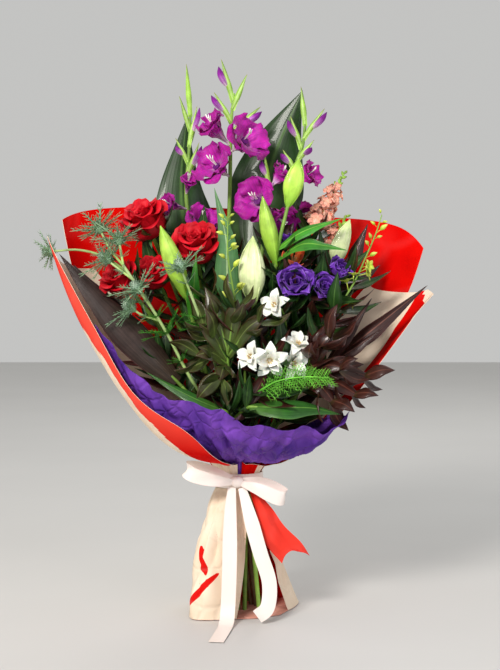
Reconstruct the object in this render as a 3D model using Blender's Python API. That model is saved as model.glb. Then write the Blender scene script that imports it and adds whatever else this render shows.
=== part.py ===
"""A tied flower sheaf that stands on its cut stems, wrapped in paper, tissue and a satin ribbon.

Frame: metres, +Z up, the front towards -Y, the origin on the floor under the neck of the sheaf.
Places are written in millimetres and turned to metres by at().
"""

import math

import bmesh
import bpy
from mathutils import Vector
from mathutils.bvhtree import BVHTree

MM = 0.001
GAP = 0.3
FRONT = Vector((0, -1, 0))
UP = Vector((0, 0, 1))

# Driving dimensions of the bound neck, in millimetres
NECK_X = -6
NECK_HEIGHT = 184
NECK_FLATTENED = 5.5
CORE_RADIUS = 21
CORE_HALF_HEIGHT = 20
CORE_TOP = 32
CORE_TOP_RADIUS = 27
FOOT_STEMS = 13
FOOT_SPREAD = 40
SPIRAL = 45
PAPER = 0.8
PAPER_STEP = 2.0
WRAP_RADIUS = 28
RIBBON_WIDTH = 20
RIBBON = 0.8
BLADE = 1.2
LEAF_PLACES = (0.5, 0.75)
LEAF_REACH = 85
LEAF_HALF = 13

# Name: (colour, roughness)
FINISHES = {
    "stem_green": ((0.16, 0.30, 0.06), 0.5),
    "leaf_dark": ((0.03, 0.08, 0.02), 0.4),
    "leaf_lily": ((0.14, 0.26, 0.06), 0.45),
    "spike_green": ((0.30, 0.48, 0.10), 0.45),
    "petal_magenta": ((0.40, 0.0, 0.33), 0.5),
    "petal_red": ((0.55, 0.0, 0.015), 0.6),
    "thistle": ((0.16, 0.27, 0.20), 0.6),
    "petal_violet": ((0.10, 0.01, 0.33), 0.6),
    "petal_peach": ((0.75, 0.28, 0.22), 0.6),
    "petal_orange": ((0.80, 0.16, 0.05), 0.6),
    "bud_lime": ((0.35, 0.45, 0.06), 0.5),
    "petal_white": ((0.85, 0.85, 0.80), 0.6),
    "cordyline": ((0.045, 0.022, 0.02), 0.35),
    "burgundy": ((0.06, 0.02, 0.02), 0.35),
    "fern": ((0.13, 0.34, 0.03), 0.5),
    "paper_red": ((0.75, 0.01, 0.01), 0.7),
    "paper_cream": ((0.85, 0.74, 0.60), 0.7),
    "tissue": ((0.09, 0.025, 0.30), 0.6),
    "satin": ((0.88, 0.84, 0.78), 0.3),
    "twine": ((0.45, 0.33, 0.18), 0.9),
}


def at(x, y, z):
    """A place given in millimetres."""
    return Vector((x, y, z)) * MM


def unit(x, y, z):
    """A direction."""
    return Vector((x, y, z)).normalized()


def catmull(points, place):
    """The point at a place from 0 to 1 on the smooth curve through the given points."""
    spans = len(points) - 1
    span = min(int(place * spans), spans - 1)
    t = place * spans - span
    b, c = points[span], points[span + 1]
    a = points[span - 1] if span > 0 else b * 2 - c
    d = points[span + 2] if span + 2 <= spans else c * 2 - b
    return 0.5 * (b * 2 + (c - a) * t + (a * 2 - b * 5 + c * 4 - d) * t**2 + (b * 3 - a - c * 3 + d) * t**3)


def smooth(points, count):
    """That many points along the smooth curve through the given ones."""
    return [catmull(points, i / (count - 1)) for i in range(count)]


def along_path(path, place):
    """The point at a place from 0 to 1 on straight runs between the points, and the direction there."""
    span = min(int(place * (len(path) - 1)), len(path) - 2)
    run = path[span + 1] - path[span]
    return path[span] + run * (place * (len(path) - 1) - span), run.normalized()


def square_to(axis):
    """Two directions square to an axis and to each other, the first as near level as it can be."""
    level = UP.cross(axis)
    first = level.normalized() if level.length > 0.1 else FRONT.cross(axis).normalized()
    return first, axis.cross(first).normalized()


def closed(points, faces):
    """A loose object from points and faces that close, turned so that the faces point out."""
    mesh = bpy.data.meshes.new("piece")
    mesh.from_pydata(points, [], faces)
    shell = bmesh.new()
    shell.from_mesh(mesh)
    bmesh.ops.triangulate(shell, faces=[face for face in shell.faces if len(face.verts) > 4])
    if shell.calc_volume(signed=True) < 0:
        bmesh.ops.reverse_faces(shell, faces=shell.faces)
    shell.to_mesh(mesh)
    shell.free()
    return bpy.data.objects.new("piece", mesh)


def loft(rings, start=None, end=None):
    """A closed body through rings of points, with a flat cap or a point at each end."""
    points = [point for ring in rings for point in ring]
    sides = len(rings[0])
    faces = []
    for row in range(len(rings) - 1):
        for i in range(sides):
            a, b = row * sides + i, row * sides + (i + 1) % sides
            faces += [(a, b, b + sides), (a, b + sides, a + sides)]
    last = (len(rings) - 1) * sides
    for apex, first, way in ((start, 0, -1), (end, last, 1)):
        ring = list(range(first, first + sides))[::way]
        if apex is None:
            faces.append(ring)
            continue
        points.append(apex)
        faces += [(ring[i], ring[(i + 1) % sides], len(points) - 1) for i in range(sides)]
    return closed(points, faces)


def tube(path, radii, sides=5):
    """A round body along a path, radii in millimetres. A radius of 0 at an end makes a point there."""
    rings = []
    first = square_to((path[1] - path[0]).normalized())[0]
    for i, radius in enumerate(radii):
        along = (path[min(i + 1, len(path) - 1)] - path[max(i - 1, 0)]).normalized()
        first = (first - along * first.dot(along)).normalized()
        second = along.cross(first)
        turns = [2 * math.pi * side / sides for side in range(sides)]
        rings.append([path[i] + (first * math.cos(t) + second * math.sin(t)) * radius * MM for t in turns])
    start = path[0] if radii[0] == 0 else None
    end = path[-1] if radii[-1] == 0 else None
    return loft(rings[start is not None : len(rings) - (end is not None)], start, end)


def spindle(base, tip, radii, sides=5):
    """A straight bud from base to tip. The radii are those between its two pointed ends."""
    steps = len(radii) + 1
    path = [base.lerp(tip, i / steps) for i in range(steps + 1)]
    return tube(path, [0, *radii, 0], sides)


def blade(spine, halves, across, thick=BLADE, cup=0.0):
    """A leaf or petal with a point at each end.

    halves are its half-widths in millimetres between the ends. across is the direction of its
    width, or a pair of them for its two ends. cup lifts both edges, as a share of the half-width.
    """
    stations = smooth(spine, len(halves) + 2)
    turn = across if isinstance(across, tuple) else (across, across)
    rings = []
    for i, half in enumerate(halves, 1):
        along = (stations[i + 1] - stations[i - 1]).normalized()
        side = turn[0].lerp(turn[1], i / (len(halves) + 1))
        side = (side - along * side.dot(along)).normalized()
        face = side.cross(along)
        lift = face * cup * half * MM
        edge, rise = side * half * MM, face * thick * MM / 2
        point = stations[i]
        rings.append([point + lift + edge, point + rise, point + lift - edge, point - rise])
    return loft(rings, stations[0], stations[-1])


def leaf(spine, halves, face, thick=BLADE, cup=0.0):
    """A blade whose broad side looks towards face."""
    first = (spine[1] - spine[0]).cross(face).normalized()
    last = (spine[-1] - spine[-2]).cross(face).normalized()
    return blade(spine, halves, (first, last), thick, -cup)


def plate(grid, thick=PAPER):
    """A sheet of even thickness through a grid of points, split in triangles alike on both faces."""
    rows, columns = len(grid), len(grid[0])
    points = []
    for side in (0.5, -0.5):
        for r in range(rows):
            for c in range(columns):
                down = grid[min(r + 1, rows - 1)][c] - grid[max(r - 1, 0)][c]
                over = grid[r][min(c + 1, columns - 1)] - grid[r][max(c - 1, 0)]
                points.append(grid[r][c] + down.cross(over).normalized() * thick * MM * side)
    back = rows * columns
    faces = []
    for r in range(rows - 1):
        for c in range(columns - 1):
            a = r * columns + c
            b, d = a + 1, a + columns
            near_face = [(a, d, d + 1), (a, d + 1, b)]
            faces += near_face + [(back + i, back + k, back + j) for i, j, k in near_face]
    rim = list(range(columns)) + [r * columns + columns - 1 for r in range(1, rows)]
    rim += [(rows - 1) * columns + c for c in range(columns - 2, -1, -1)]
    rim += [r * columns for r in range(rows - 2, 0, -1)]
    for i, a in enumerate(rim):
        b = rim[(i + 1) % len(rim)]
        faces += [(a, b, back + b), (a, back + b, back + a)]
    return closed(points, faces)


def finish(name):
    """The material of that name."""
    if name in bpy.data.materials:
        return bpy.data.materials[name]
    colour, roughness = FINISHES[name]
    material = bpy.data.materials.new(name)
    material.use_nodes = True
    shader = material.node_tree.nodes["Principled BSDF"]
    shader.inputs["Base Color"].default_value = (*colour, 1)
    shader.inputs["Roughness"].default_value = roughness
    shader.inputs["Metallic"].default_value = 0
    return material


def largest_shell(mesh, name):
    """Keeps the outer shell: hollows sealed by the union are filled, and scraps of it are dropped."""
    body = bmesh.new()
    body.from_mesh(mesh)
    body.verts.ensure_lookup_table()
    left = set(body.verts)
    shells = []
    while left:
        reached, edge = set(), [left.pop()]
        while edge:
            vert = edge.pop()
            reached.add(vert)
            for link in vert.link_edges:
                other = link.other_vert(vert)
                if other in left:
                    left.remove(other)
                    edge.append(other)
        shells.append(reached)
    shells.sort(key=len)
    for shell in shells[:-1]:
        corners = [vert.co for vert in shell]
        span = max((a - corners[0]).length for a in corners)
        if span > 6 * MM:
            print(f"{name}: a loose shell {span / MM:.0f} mm long is dropped")
        bmesh.ops.delete(body, geom=list(shell), context="VERTS")
    body.to_mesh(mesh)
    body.free()


def grow(name, material, pieces):
    """One node from its pieces, joined by one Boolean union.

    MANIFOLD does it in a fraction of a second, where EXACT takes minutes on so many crossing blades.
    """
    scene = bpy.context.scene.collection
    node, *repeats = pieces
    scene.objects.link(node)
    if repeats:
        group = bpy.data.collections.new("repeats")
        scene.children.link(group)
        for piece in repeats:
            group.objects.link(piece)
        union = node.modifiers.new("union", "BOOLEAN")
        union.operation = "UNION"
        union.operand_type = "COLLECTION"
        union.collection = group
        union.solver = "MANIFOLD"
        bpy.context.view_layer.update()
        fused = bpy.data.meshes.new_from_object(node.evaluated_get(bpy.context.evaluated_depsgraph_get()))
        node.modifiers.remove(union)
        node.data = fused
        for piece in repeats:
            bpy.data.objects.remove(piece)
        bpy.data.collections.remove(group)
        largest_shell(fused, name)
    node.name = name
    node.data.name = name
    node.data.materials.clear()
    node.data.materials.append(finish(material))
    node.data.shade_smooth()
    node.data.set_sharp_from_angle(angle=math.radians(35))
    return node


# The wrapping: one smooth surface spreads from the neck, and each sheet is a patch of a layer of it

# Far edge of the wrapping: (azimuth in degrees, place in millimetres), azimuth -90 is the front
FAR_EDGE = [
    (0, at(272, 0, 470)),
    (28, at(230, 82, 548)),
    (60, at(90, 118, 566)),
    (90, at(0, 122, 572)),
    (120, at(-90, 118, 576)),
    (152, at(-205, 86, 572)),
    (172, at(-252, 42, 556)),
    (190, at(-262, -42, 525)),
    (211, at(-190, -104, 412)),
    (227, at(-138, -134, 345)),
    (250, at(-62, -158, 322)),
    (272, at(10, -166, 304)),
    (296, at(82, -156, 286)),
    (318, at(142, -124, 292)),
    (339, at(190, -76, 352)),
    (351, at(248, -42, 432)),
]
BELLY = {"left": 15, "right": 5, "front": 22}
SHOULDER = 17
FLARE_RISE = 28
FLARE_OUT = 9


def neck_point(azimuth, radius, height):
    """A point of the oval ring round the neck, all in millimetres but the azimuth in degrees."""
    turn = math.radians(azimuth)
    return at(NECK_X + radius * math.cos(turn), (radius - NECK_FLATTENED) * math.sin(turn), height)


def ring_point(ring, azimuth):
    """The point at an azimuth of a smooth closed outline, given as (azimuth, place) pairs from 0 on."""
    azimuth %= 360
    turns = [turn for turn, _ in ring] + [ring[0][0] + 360]
    i = max(k for k in range(len(ring)) if turns[k] <= azimuth)
    share = (azimuth - turns[i]) / (turns[i + 1] - turns[i])
    near = [ring[(i + step) % len(ring)][1] for step in (-1, 0, 1, 2)]
    return catmull(near, (1 + share) / 3)


def belly_point(azimuth, reach):
    """A point of the innermost layer, which swells out between the neck and the far edge."""
    near = neck_point(azimuth, WRAP_RADIUS + FLARE_OUT, NECK_HEIGHT + FLARE_RISE)
    far = ring_point(FAR_EDGE, azimuth)
    out = Vector((math.cos(math.radians(azimuth)), math.sin(math.radians(azimuth)), 0))
    rise = (far - near).normalized()
    square = (out - rise * out.dot(rise)).normalized()
    side = BELLY["right"] + (BELLY["left"] - BELLY["right"]) * (1 - out.x) / 2
    belly = side + (BELLY["front"] - side) * max(0.0, -out.y)
    shoulder = SHOULDER * max(0.0, -out.x) ** 2 * math.sin(math.pi * min(reach, 1.0) ** 1.3)
    return near.lerp(far, reach) + square * (belly * math.sin(math.pi * reach) + shoulder) * MM


def wrap_point(azimuth, reach, layer):
    """A point of the wrapping: reach 0 is where it flares from the neck and 1 the far edge."""
    point = belly_point(azimuth, reach)
    run = belly_point(azimuth, reach + 0.02) - point
    out = Vector((math.cos(math.radians(azimuth)), math.sin(math.radians(azimuth)), 0))
    normal = (out * run.z - UP * run.dot(out)).normalized()
    if reach == 0:
        normal = (out + normal) / (1 + out.dot(normal))
    loose = layer * (PAPER_STEP + 5 * math.sin(math.pi * min(reach, 1.0)))
    return point + normal * loose * MM


def wrap_sheet(front_edge, back_edge, layers, columns, rows, dip=0.0, ruffle=None):
    """A patch of the wrapping between two edges, each a list of (azimuth, reach) from the neck out.

    layers holds its layer at the front edge and at the back edge, to which its second half passes over.
    Its first two rows stand in the ribbon, which holds the sheet. dip is how far the far edge hangs
    between its corners.
    """
    passed = [max(0.0, 2 * c / (columns - 1) - 1) for c in range(columns)]
    layer = [layers[0] + (layers[1] - layers[0]) * share for share in passed]
    grid = []
    for r in range(rows):
        out = (r / (rows - 1)) ** 1.3
        a = catmull([Vector((*place, 0)) for place in front_edge], out)
        b = catmull([Vector((*place, 0)) for place in back_edge], out)
        line = [a.lerp(b, c / (columns - 1)) for c in range(columns)]
        for c, place in enumerate(line):
            place.y -= dip * math.sin(math.pi * (c / (columns - 1)) ** 0.6) * out**4
        grid.append([wrap_point(place.x, max(place.y, 0.0), layer[c]) for c, place in enumerate(line)])
        if ruffle:
            grid[-1] = [point + ruffle(c, out) for c, point in enumerate(grid[-1])]
    ends = front_edge[0][0], back_edge[0][0]
    turns = [ends[0] + (ends[1] - ends[0]) * c / (columns - 1) for c in range(columns)]
    radii = [WRAP_RADIUS + step * PAPER_STEP for step in layer]
    held = [[neck_point(*place, NECK_HEIGHT + z) for place in zip(turns, radii)] for z in (-8, 11)]
    return plate([*held, *grid])


def wrapping():
    """Papers round the flowers. The wings lie inside the back papers, and those overlap behind."""
    grow("paper_back_left", "paper_red", [wrap_sheet(
        [(176, 0), (176, 0.3), (175, 0.6), (173, 0.86), (172, 0.98)],
        [(78, 0), (78, 0.3), (79, 0.6), (80, 0.86), (81, 0.97)], (2.25, 0.9), 10, 8)])
    grow("paper_back_right", "paper_red", [wrap_sheet(
        [(99, 0), (99, 0.3), (98, 0.6), (98, 0.86), (97, 0.96)],
        [(2, 0), (4, 0.3), (7, 0.6), (11, 0.8), (17, 0.97)], (2, 2), 8, 5)])
    grow("paper_wing_left", "paper_red", [wrap_sheet(
        [(268, 0), (261, 0.2), (252, 0.45), (241, 0.7), (223, 0.86), (204, 0.94), (190, 1.0)],
        [(140, 0), (142, 0.16), (144, 0.32), (146, 0.48), (150, 0.6), (155, 0.7), (160, 0.78)],
        (1.7, 1.2), 13, 8, 0.08)])
    grow("paper_wing_right", "paper_red", [wrap_sheet(
        [(44, 0), (42, 0.16), (40, 0.32), (37, 0.46), (34, 0.57), (31, 0.66), (28, 0.74)],
        [(-82, 0), (-54, 0.2), (-35, 0.36), (-24, 0.54), (-17, 0.72), (-11, 0.87), (-5, 0.98)],
        (1, 1), 10, 6, 0.05)])

    def tissue_ruffle(column, height):
        wave = math.cos(column * math.pi) * 4 + math.cos(column * 1.3) * 5
        return at(0, 0, wave * min(1.0, column / 7) * height**3)

    grow("tissue", "tissue", [wrap_sheet(
        [(190, 0), (196, 0.3), (202, 0.55), (205, 0.78), (206, 0.88)],
        [(352, 0), (346, 0.3), (338, 0.52), (331, 0.72), (326, 0.88)], (0, 0), 14, 7, ruffle=tissue_ruffle)])


# Outline of the paper foot on the floor: (azimuth, place)
FOOT_PLEATS = 9
FOOT_OPENS = 28
FOOT_DROP = 2.4
FOOT_OUTLINE = [
    (0, at(74, 6, 0)),
    (35, at(72, 50, 0)),
    (90, at(2, 58, 0)),
    (145, at(-62, 48, 0)),
    (180, at(-70, 0, 0)),
    (225, at(-68, -66, 0)),
    (270, at(-2, -64, 0)),
    (310, at(40, -50, 0)),
]


def foot_point(azimuth, reach):
    """A point of the paper skirt: reach 0 is under the ribbon and 1 the floor."""
    top = neck_point(azimuth, WRAP_RADIUS + PAPER_STEP, NECK_HEIGHT - RIBBON_WIDTH / 2 + 1)
    out = Vector((math.cos(math.radians(azimuth)), math.sin(math.radians(azimuth)), 0))
    pleat = out * math.cos(math.radians(azimuth) * FOOT_PLEATS) * 5 * reach * (1 - reach) * MM
    hem = ring_point(FOOT_OUTLINE, azimuth)
    drop = 1 + (FOOT_DROP - 1) * max(0.0, -out.x)
    point = top.lerp(hem, 1 - (1 - reach) ** drop)
    point.z = top.z + (hem.z - top.z) * reach
    return point + pleat


def foot():
    """The skirt, open at the front right, and the panel that it is folded to under the stem ends."""
    first, last, columns = -20, 293, 16
    turns = [first + (last - first) * c / (columns - 1) for c in range(columns)]
    low = PAPER / 2 * UP * MM
    skirt = []
    for reach in (0, 0.25, 0.6, 1):
        opened = 1 - FOOT_OPENS * reach / (last - first)
        skirt.append([foot_point(first + (turn - first) * opened, reach) + low * reach for turn in turns])
    hem = [foot_point(turn, 1) for turn in turns] + [at(52, -42, 0)]
    panel = loft([[point + UP * z * MM for point in hem] for z in (0, PAPER)])
    node = grow("paper_foot", "paper_cream", [plate(skirt), panel])
    for vert in node.data.vertices:
        vert.co.z = max(vert.co.z, 0.0)

    flap = [
        [neck_point(turn, WRAP_RADIUS + 4.4, 178) for turn in (301, 330)],
        [neck_point(turn, WRAP_RADIUS + 2.5, 172.5) for turn in (300, 332)],
        [at(13, -30, 160), at(29, -27, 160)],
        [at(18, -40, 146), at(42, -37, 146)],
        [at(24, -47, 122), at(58, -44, 124)],
        [at(34, -50, 98), at(78, -44, 104)],
        [at(54, -52, 74), at(92, -40, 82)],
    ]
    bulge = [at(0, -1.4 * i, 0) for i in range(len(flap))]
    grid = [[a, a.lerp(b, 0.5) + out, b] for (a, b), out in zip(flap, bulge)]
    grow("paper_flap", "paper_red", [plate(grid)])


# The ribbon

KNOT = at(-8, -36.3, 185)
BAND_RADIUS = WRAP_RADIUS + 2 * PAPER_STEP + PAPER / 2 + 1.0


def hoop(radius, thick, low, high, sides):
    """A closed oval band round the neck, sizes in millimetres."""
    turns = [i * 360 / sides for i in range(sides)]
    corners = ((radius + thick, low), (radius + thick, high), (radius, high), (radius, low))
    points = [neck_point(turn, r, z) for r, z in corners for turn in turns]
    faces = []
    for row in range(4):
        for i in range(sides):
            a, b = row * sides + i, row * sides + (i + 1) % sides
            c, d = (row + 1) % 4 * sides + (i + 1) % sides, (row + 1) % 4 * sides + i
            faces += [(a, b, c), (a, c, d)]
    return closed(points, faces)


def level(values, place):
    """The value at a place from 0 to 1 on straight runs between the given ones."""
    span = min(int(place * (len(values) - 1)), len(values) - 2)
    return values[span] + (values[span + 1] - values[span]) * (place * (len(values) - 1) - span)


def strip(path, across, count, widths):
    """A ribbon along a path. across is the direction of its width at each point of the path."""
    line = smooth(path, count)
    sides = smooth(across, count)
    grid = []
    for i, point in enumerate(line):
        along = line[min(i + 1, count - 1)] - line[max(i - 1, 0)]
        side = sides[i] - along * sides[i].dot(along) / along.length_squared
        side = side.normalized() * level(widths, i / (count - 1)) / 2 * MM
        grid.append([point - side, point, point + side])
    return plate(grid, RIBBON)


def ribbon():
    """Band round the neck, bow, and two tails, one of which lies out along the floor."""
    grow("ribbon_band", "satin", [hoop(BAND_RADIUS, RIBBON, NECK_HEIGHT - 10, NECK_HEIGHT + 10, 20)])
    middle = [at(-9, 0, 1), at(-4, -1, 0), at(4, -1, 0), at(9, 0, -1)]
    knot = tube([KNOT + place for place in middle], [6, 8, 8, 6], 6)
    gathered = [9, 17, RIBBON_WIDTH, RIBBON_WIDTH, 17, 9]
    left = strip(
        [KNOT + at(-5, -3, 2), KNOT + at(-30, -20, 10), KNOT + at(-60, -26, 21), KNOT + at(-66, -18, 22),
         KNOT + at(-38, -10, 12), KNOT + at(-5, 1, 2)],
        [unit(0.3, 0.1, 0.9)] * 6, 9, gathered)
    right = strip(
        [KNOT + at(5, -3, 0), KNOT + at(28, -16, -2), KNOT + at(58, -20, -12), KNOT + at(63, -12, -13),
         KNOT + at(34, -7, -4), KNOT + at(5, 1, 0)],
        [unit(0.1, 0.1, 1)] * 6, 9, gathered)
    grow("ribbon_bow", "satin", [knot, left, right])

    full = [11, RIBBON_WIDTH, RIBBON_WIDTH, RIBBON_WIDTH, RIBBON_WIDTH]
    grow("ribbon_tail_long", "satin", [strip(
        [at(-15, -38, 177.2), at(-17, -55, 142), at(-18, -78, 70), at(-20, -86, 20),
         at(-22, -103, 3.6), at(-27, -138, 1.2), at(-34, -182, 0.45)],
        [unit(1, 0, -0.1), unit(1, 0.1, 0), unit(1, 0.1, 0), unit(1, 0, 0),
         unit(1, 0, 0), unit(1, -0.1, 0), unit(1, -0.15, 0)], 14, full)])
    grow("ribbon_tail_curled", "satin", [strip(
        [at(-1, -38, 176.8), at(10, -56, 140), at(24, -68, 92), at(36, -74, 54), at(34, -84, 22),
         at(20, -92, 10)],
        [unit(1, 0, 0.2), unit(0.9, 0, 0.4), unit(0.8, 0.1, 0.5), unit(0.8, 0.1, 0.4), unit(0.9, 0.2, 0.2),
         unit(0.9, 0.4, 0.1)], 11, full)])


# Stems

SEATS = []
SPRAYS = {}


def head_seat(centre, axis, depth, radius=2.2, spray=None):
    """Where a head's base sits. Its stem will end GAP below it. Heads of one spray share a main stem."""
    seat = centre - axis * depth * MM
    end = seat - axis * GAP * MM
    SEATS.append((end, axis, radius, spray))
    if spray:
        SPRAYS.setdefault(spray, []).append(end)
    return seat


def surface(piece):
    """The surface of an object, to test what crosses it."""
    corners = [vert.co for vert in piece.data.vertices]
    return BVHTree.FromPolygons(corners, [face.vertices for face in piece.data.polygons])


def stem_leaf(root, side, reach, half, thick=BLADE):
    """A broad leaf that leaves a stem to one side and arches up, its face to the front."""
    middle = root + at(0.45 * side, -0.22, 0.5) * reach
    tip = root + at(0.85 * side, -0.3, 0.75) * reach
    return leaf([root, middle, tip], [half * 0.75, half], unit(0, -1, 0.35), thick, 0.15)


def stem_leaves(paths, walls):
    """Leaves up the stems, to the left and right in turn, left out where one would cross a neighbour."""
    leaves = []
    for i, path in enumerate(paths):
        for k, place in enumerate(LEAF_PLACES):
            root = along_path(path, place)[0]
            side = 1 if (i + k) % 2 else -1
            wide = surface(stem_leaf(root, side, LEAF_REACH + 6, LEAF_HALF + 3, BLADE + 4 * GAP))
            if not any(wide.overlap(wall) for wall in walls):
                leaves.append(stem_leaf(root, side, LEAF_REACH, LEAF_HALF))
    return leaves


def bundle():
    """All stems in one: bound in the core at the neck, splayed in a spiral at the floor."""
    walls = [surface(node) for node in bpy.context.scene.objects]
    turns = [i * 36 for i in range(10)]
    low, high = NECK_HEIGHT - CORE_HALF_HEIGHT, NECK_HEIGHT + CORE_HALF_HEIGHT
    widths = ((CORE_RADIUS, low), (CORE_RADIUS, high), (CORE_TOP_RADIUS, high + CORE_TOP))
    pieces = [loft([[neck_point(t, radius, height) for t in turns] for radius, height in widths])]

    starts = [end for end, _, _, spray in SEATS if not spray]
    starts += [sum(ends, Vector()) / len(ends) for ends in SPRAYS.values()]
    starts.sort(key=lambda place: math.hypot(place.x, place.y) / place.z)

    def core_top(place):
        """Each stem leaves the core at its own slot, the steepest ones in the middle."""
        share = (starts.index(place) + 0.5) / len(starts)
        turn = math.degrees(math.atan2(place.y, place.x))
        return neck_point(turn, CORE_RADIUS * 0.88 * math.sqrt(share), high - 4)

    forks = {}
    for spray, ends in SPRAYS.items():
        middle = sum(ends, Vector()) / len(ends)
        forks[spray] = core_top(middle).lerp(middle, 0.4)
        pieces.append(tube([core_top(middle), forks[spray]], [2.8, 2.4], 4))
    paths = []
    for end, axis, radius, spray in SEATS:
        start = forks[spray] if spray else core_top(end)
        bend = end - axis * (end - start).length * 0.42
        bends = (0, 0.5) if (end - start).length > 150 * MM else (0,)
        path = [start.lerp(bend, t).lerp(bend.lerp(end, t), t) for t in bends]
        path += [end - axis * 6 * MM, end]
        paths.append(path)
        pieces.append(tube(path, [radius + 0.5] * len(bends) + [radius, radius], 4))
    for i in range(FOOT_STEMS):
        turn = i * 720 / FOOT_STEMS
        ring = FOOT_SPREAD * (0.5 if i % 2 else 1)
        aside = Vector((math.cos(math.radians(turn)), 0.85 * math.sin(math.radians(turn)), 0))
        end = (aside * ring + UP * (PAPER + GAP)) * MM
        top = neck_point(turn + SPIRAL, CORE_RADIUS * 0.65, low + 6)
        pieces.append(tube([end, end + UP * 3 * MM, top], [2.9, 2.9, 3.2], 4))
    grow("stems", "stem_green", pieces + stem_leaves(paths, walls))
    grow("stem_tie", "twine", [hoop(CORE_RADIUS + 0.4, 2, high - 14, high - 9, 10)])


# Flowers

def petals(base, axis, count, profile, halves, turn=0.0, cup=0.0, thick=BLADE):
    """A whorl of petals. profile holds (out, along) from the base and halves half-widths, in millimetres."""
    first, second = square_to(axis)
    whorl = []
    for i in range(count):
        angle = 2 * math.pi * (i + turn) / count
        out = first * math.cos(angle) + second * math.sin(angle)
        spine = [base + (out * o + axis * h) * MM for o, h in profile]
        whorl.append(blade(spine, halves, out.cross(axis), thick, cup))
    return whorl


def gladiolus_bloom(base, centre, size, openness=1.0):
    """Throat tube and six tepals. size is the radius of the open bloom."""
    axis = (centre - base).normalized()
    depth = (centre - base).length / MM
    flare = size * openness
    throat = [base + axis * depth * reach * MM for reach in (0, 0.35, 0.8)]
    pieces = [tube(throat, [0, 2.6, 5.5], 4)]
    inner = [(0.5, depth * 0.25), (flare * 0.35, depth * 0.8)]
    inner += [(flare * 0.8, depth * 1.12), (flare, depth * 1.16)]
    outer = [(0.5, depth * 0.2), (flare * 0.4, depth * 0.7)]
    outer += [(flare * 0.85, depth * 0.98), (flare * 1.06, depth * 0.9)]
    wide = size * 0.42
    shares = (0.72, 1.0) if size > 24 else (0.95,)
    pieces += petals(base, axis, 3, inner, [wide * share for share in shares], 0.0, -0.15)
    pieces += petals(base, axis, 3, outer, [wide * 1.08 * share for share in shares], 0.5, -0.15)
    return pieces


SPIKES = {
    "gladiolus_left": {
        "stem": [at(-61, 40, 465), at(-74, 52, 530), at(-81, 60, 581), at(-77, 68, 645), at(-75, 72, 702)],
        "buds": [
            (0.97, at(-81, 75, 768), 4.5),
            (0.88, at(-91, 69, 722), 3.5),
            (0.78, at(-65, 64, 708), 4.0),
            (0.6, at(-62, 59, 656), 4.5),
            (0.68, at(-96, 60, 662), 3.5),
        ],
        "blooms": {
            "gladiolus_bloom_left": [(0.23, at(-56, 22, 548), 24, 1.0)],
            "gladiolus_bloom_side": [(0.4, at(-107, 32, 568), 18, 0.8)],
            "gladiolus_bloom_slim": [(0.5, at(-76, 40, 603), 15, 0.7)],
        },
    },
    "gladiolus_centre": {
        "stem": [at(-21, 34, 480), at(-19, 48, 570), at(-18, 55, 623), at(-17, 60, 680), at(-13, 62, 725)],
        "buds": [
            (0.94, at(-31, 60, 773), 4.5),
            (0.88, at(6, 62, 752), 4.5),
            (0.78, at(-41, 56, 726), 4.0),
            (0.7, at(25, 60, 706), 4.5),
        ],
        "blooms": {
            "gladiolus_bloom_top": [(0.62, at(-47, 42, 682), 27, 0.75)],
            "gladiolus_bloom_open": [(0.58, at(9, 26, 661), 34, 1.0)],
            "gladiolus_bloom_middle": [(0.42, at(-43, 24, 625), 31, 1.0)],
        },
    },
    "gladiolus_right": {
        "stem": [at(52, 46, 490), at(66, 66, 585), at(76, 76, 625), at(86, 81, 655), at(90, 84, 692)],
        "buds": [
            (0.94, at(83, 85, 737), 4.5),
            (0.8, at(117, 76, 705), 4.0),
            (0.7, at(68, 80, 694), 4.0),
            (0.55, at(102, 70, 660), 4.0),
            (0.45, at(57, 72, 646), 4.0),
        ],
        "blooms": {
            "gladiolus_bloom_right": [(0.32, at(99, 52, 612), 21, 0.9)],
            "gladiolus_bloom_corner": [(0.18, at(86, 28, 552), 21, 0.9)],
        },
    },
    "gladiolus_low": {
        "stem": [at(24, 24, 470), at(30, 28, 530), at(35, 34, 575), at(37, 38, 600)],
        "buds": [(0.9, at(30, 40, 640), 4.0)],
        "blooms": {
            "gladiolus_blooms_low": [(0.6, at(16, 2, 574), 31, 1.0), (0.6, at(54, -2, 541), 26, 1.0)],
            "gladiolus_bloom_back": [(0.85, at(58, 30, 612), 20, 0.9)],
        },
    },
}


def gladioli():
    """Spikes of green buds in bracts, and their blooms, each close against its stem."""
    for name, spike in SPIKES.items():
        stem = spike["stem"]
        seat = head_seat(stem[0], (stem[1] - stem[0]).normalized(), 0, 2.8)
        path = [seat, *stem[1:]]
        pieces = [tube(path, [3.0, 2.8, 2.6, 2.3, 1.8][: len(path)], 4)]
        for place, tip, r in spike["buds"]:
            pieces.append(spindle(along_path(path, place)[0], tip, [r, r * 0.8], 5))
        grow(name, "spike_green", pieces)
        for bloom, heads in spike["blooms"].items():
            place, first = heads[0][:2]
            root = along_path(path, place)[0]
            off = (first - root).normalized()
            pieces = []
            for i, (_, centre, size, openness) in enumerate(heads):
                base = root + off * (2.6 + GAP + 6 * i) * MM
                pieces += gladiolus_bloom(base, centre, size, openness)
            grow(bloom, "petal_magenta", pieces)


ROSES = {
    "rose_upper": (at(-135, 5, 542), unit(-0.35, -0.5, 0.8), 29),
    "rose_right": (at(-65, -10, 509), unit(-0.1, -0.6, 0.8), 29),
    "rose_left": (at(-166, -34, 462), unit(-0.55, -0.5, 0.65), 24),
    "rose_middle": (at(-123, -8, 470), unit(-0.3, -0.7, 0.65), 22),
}


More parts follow.
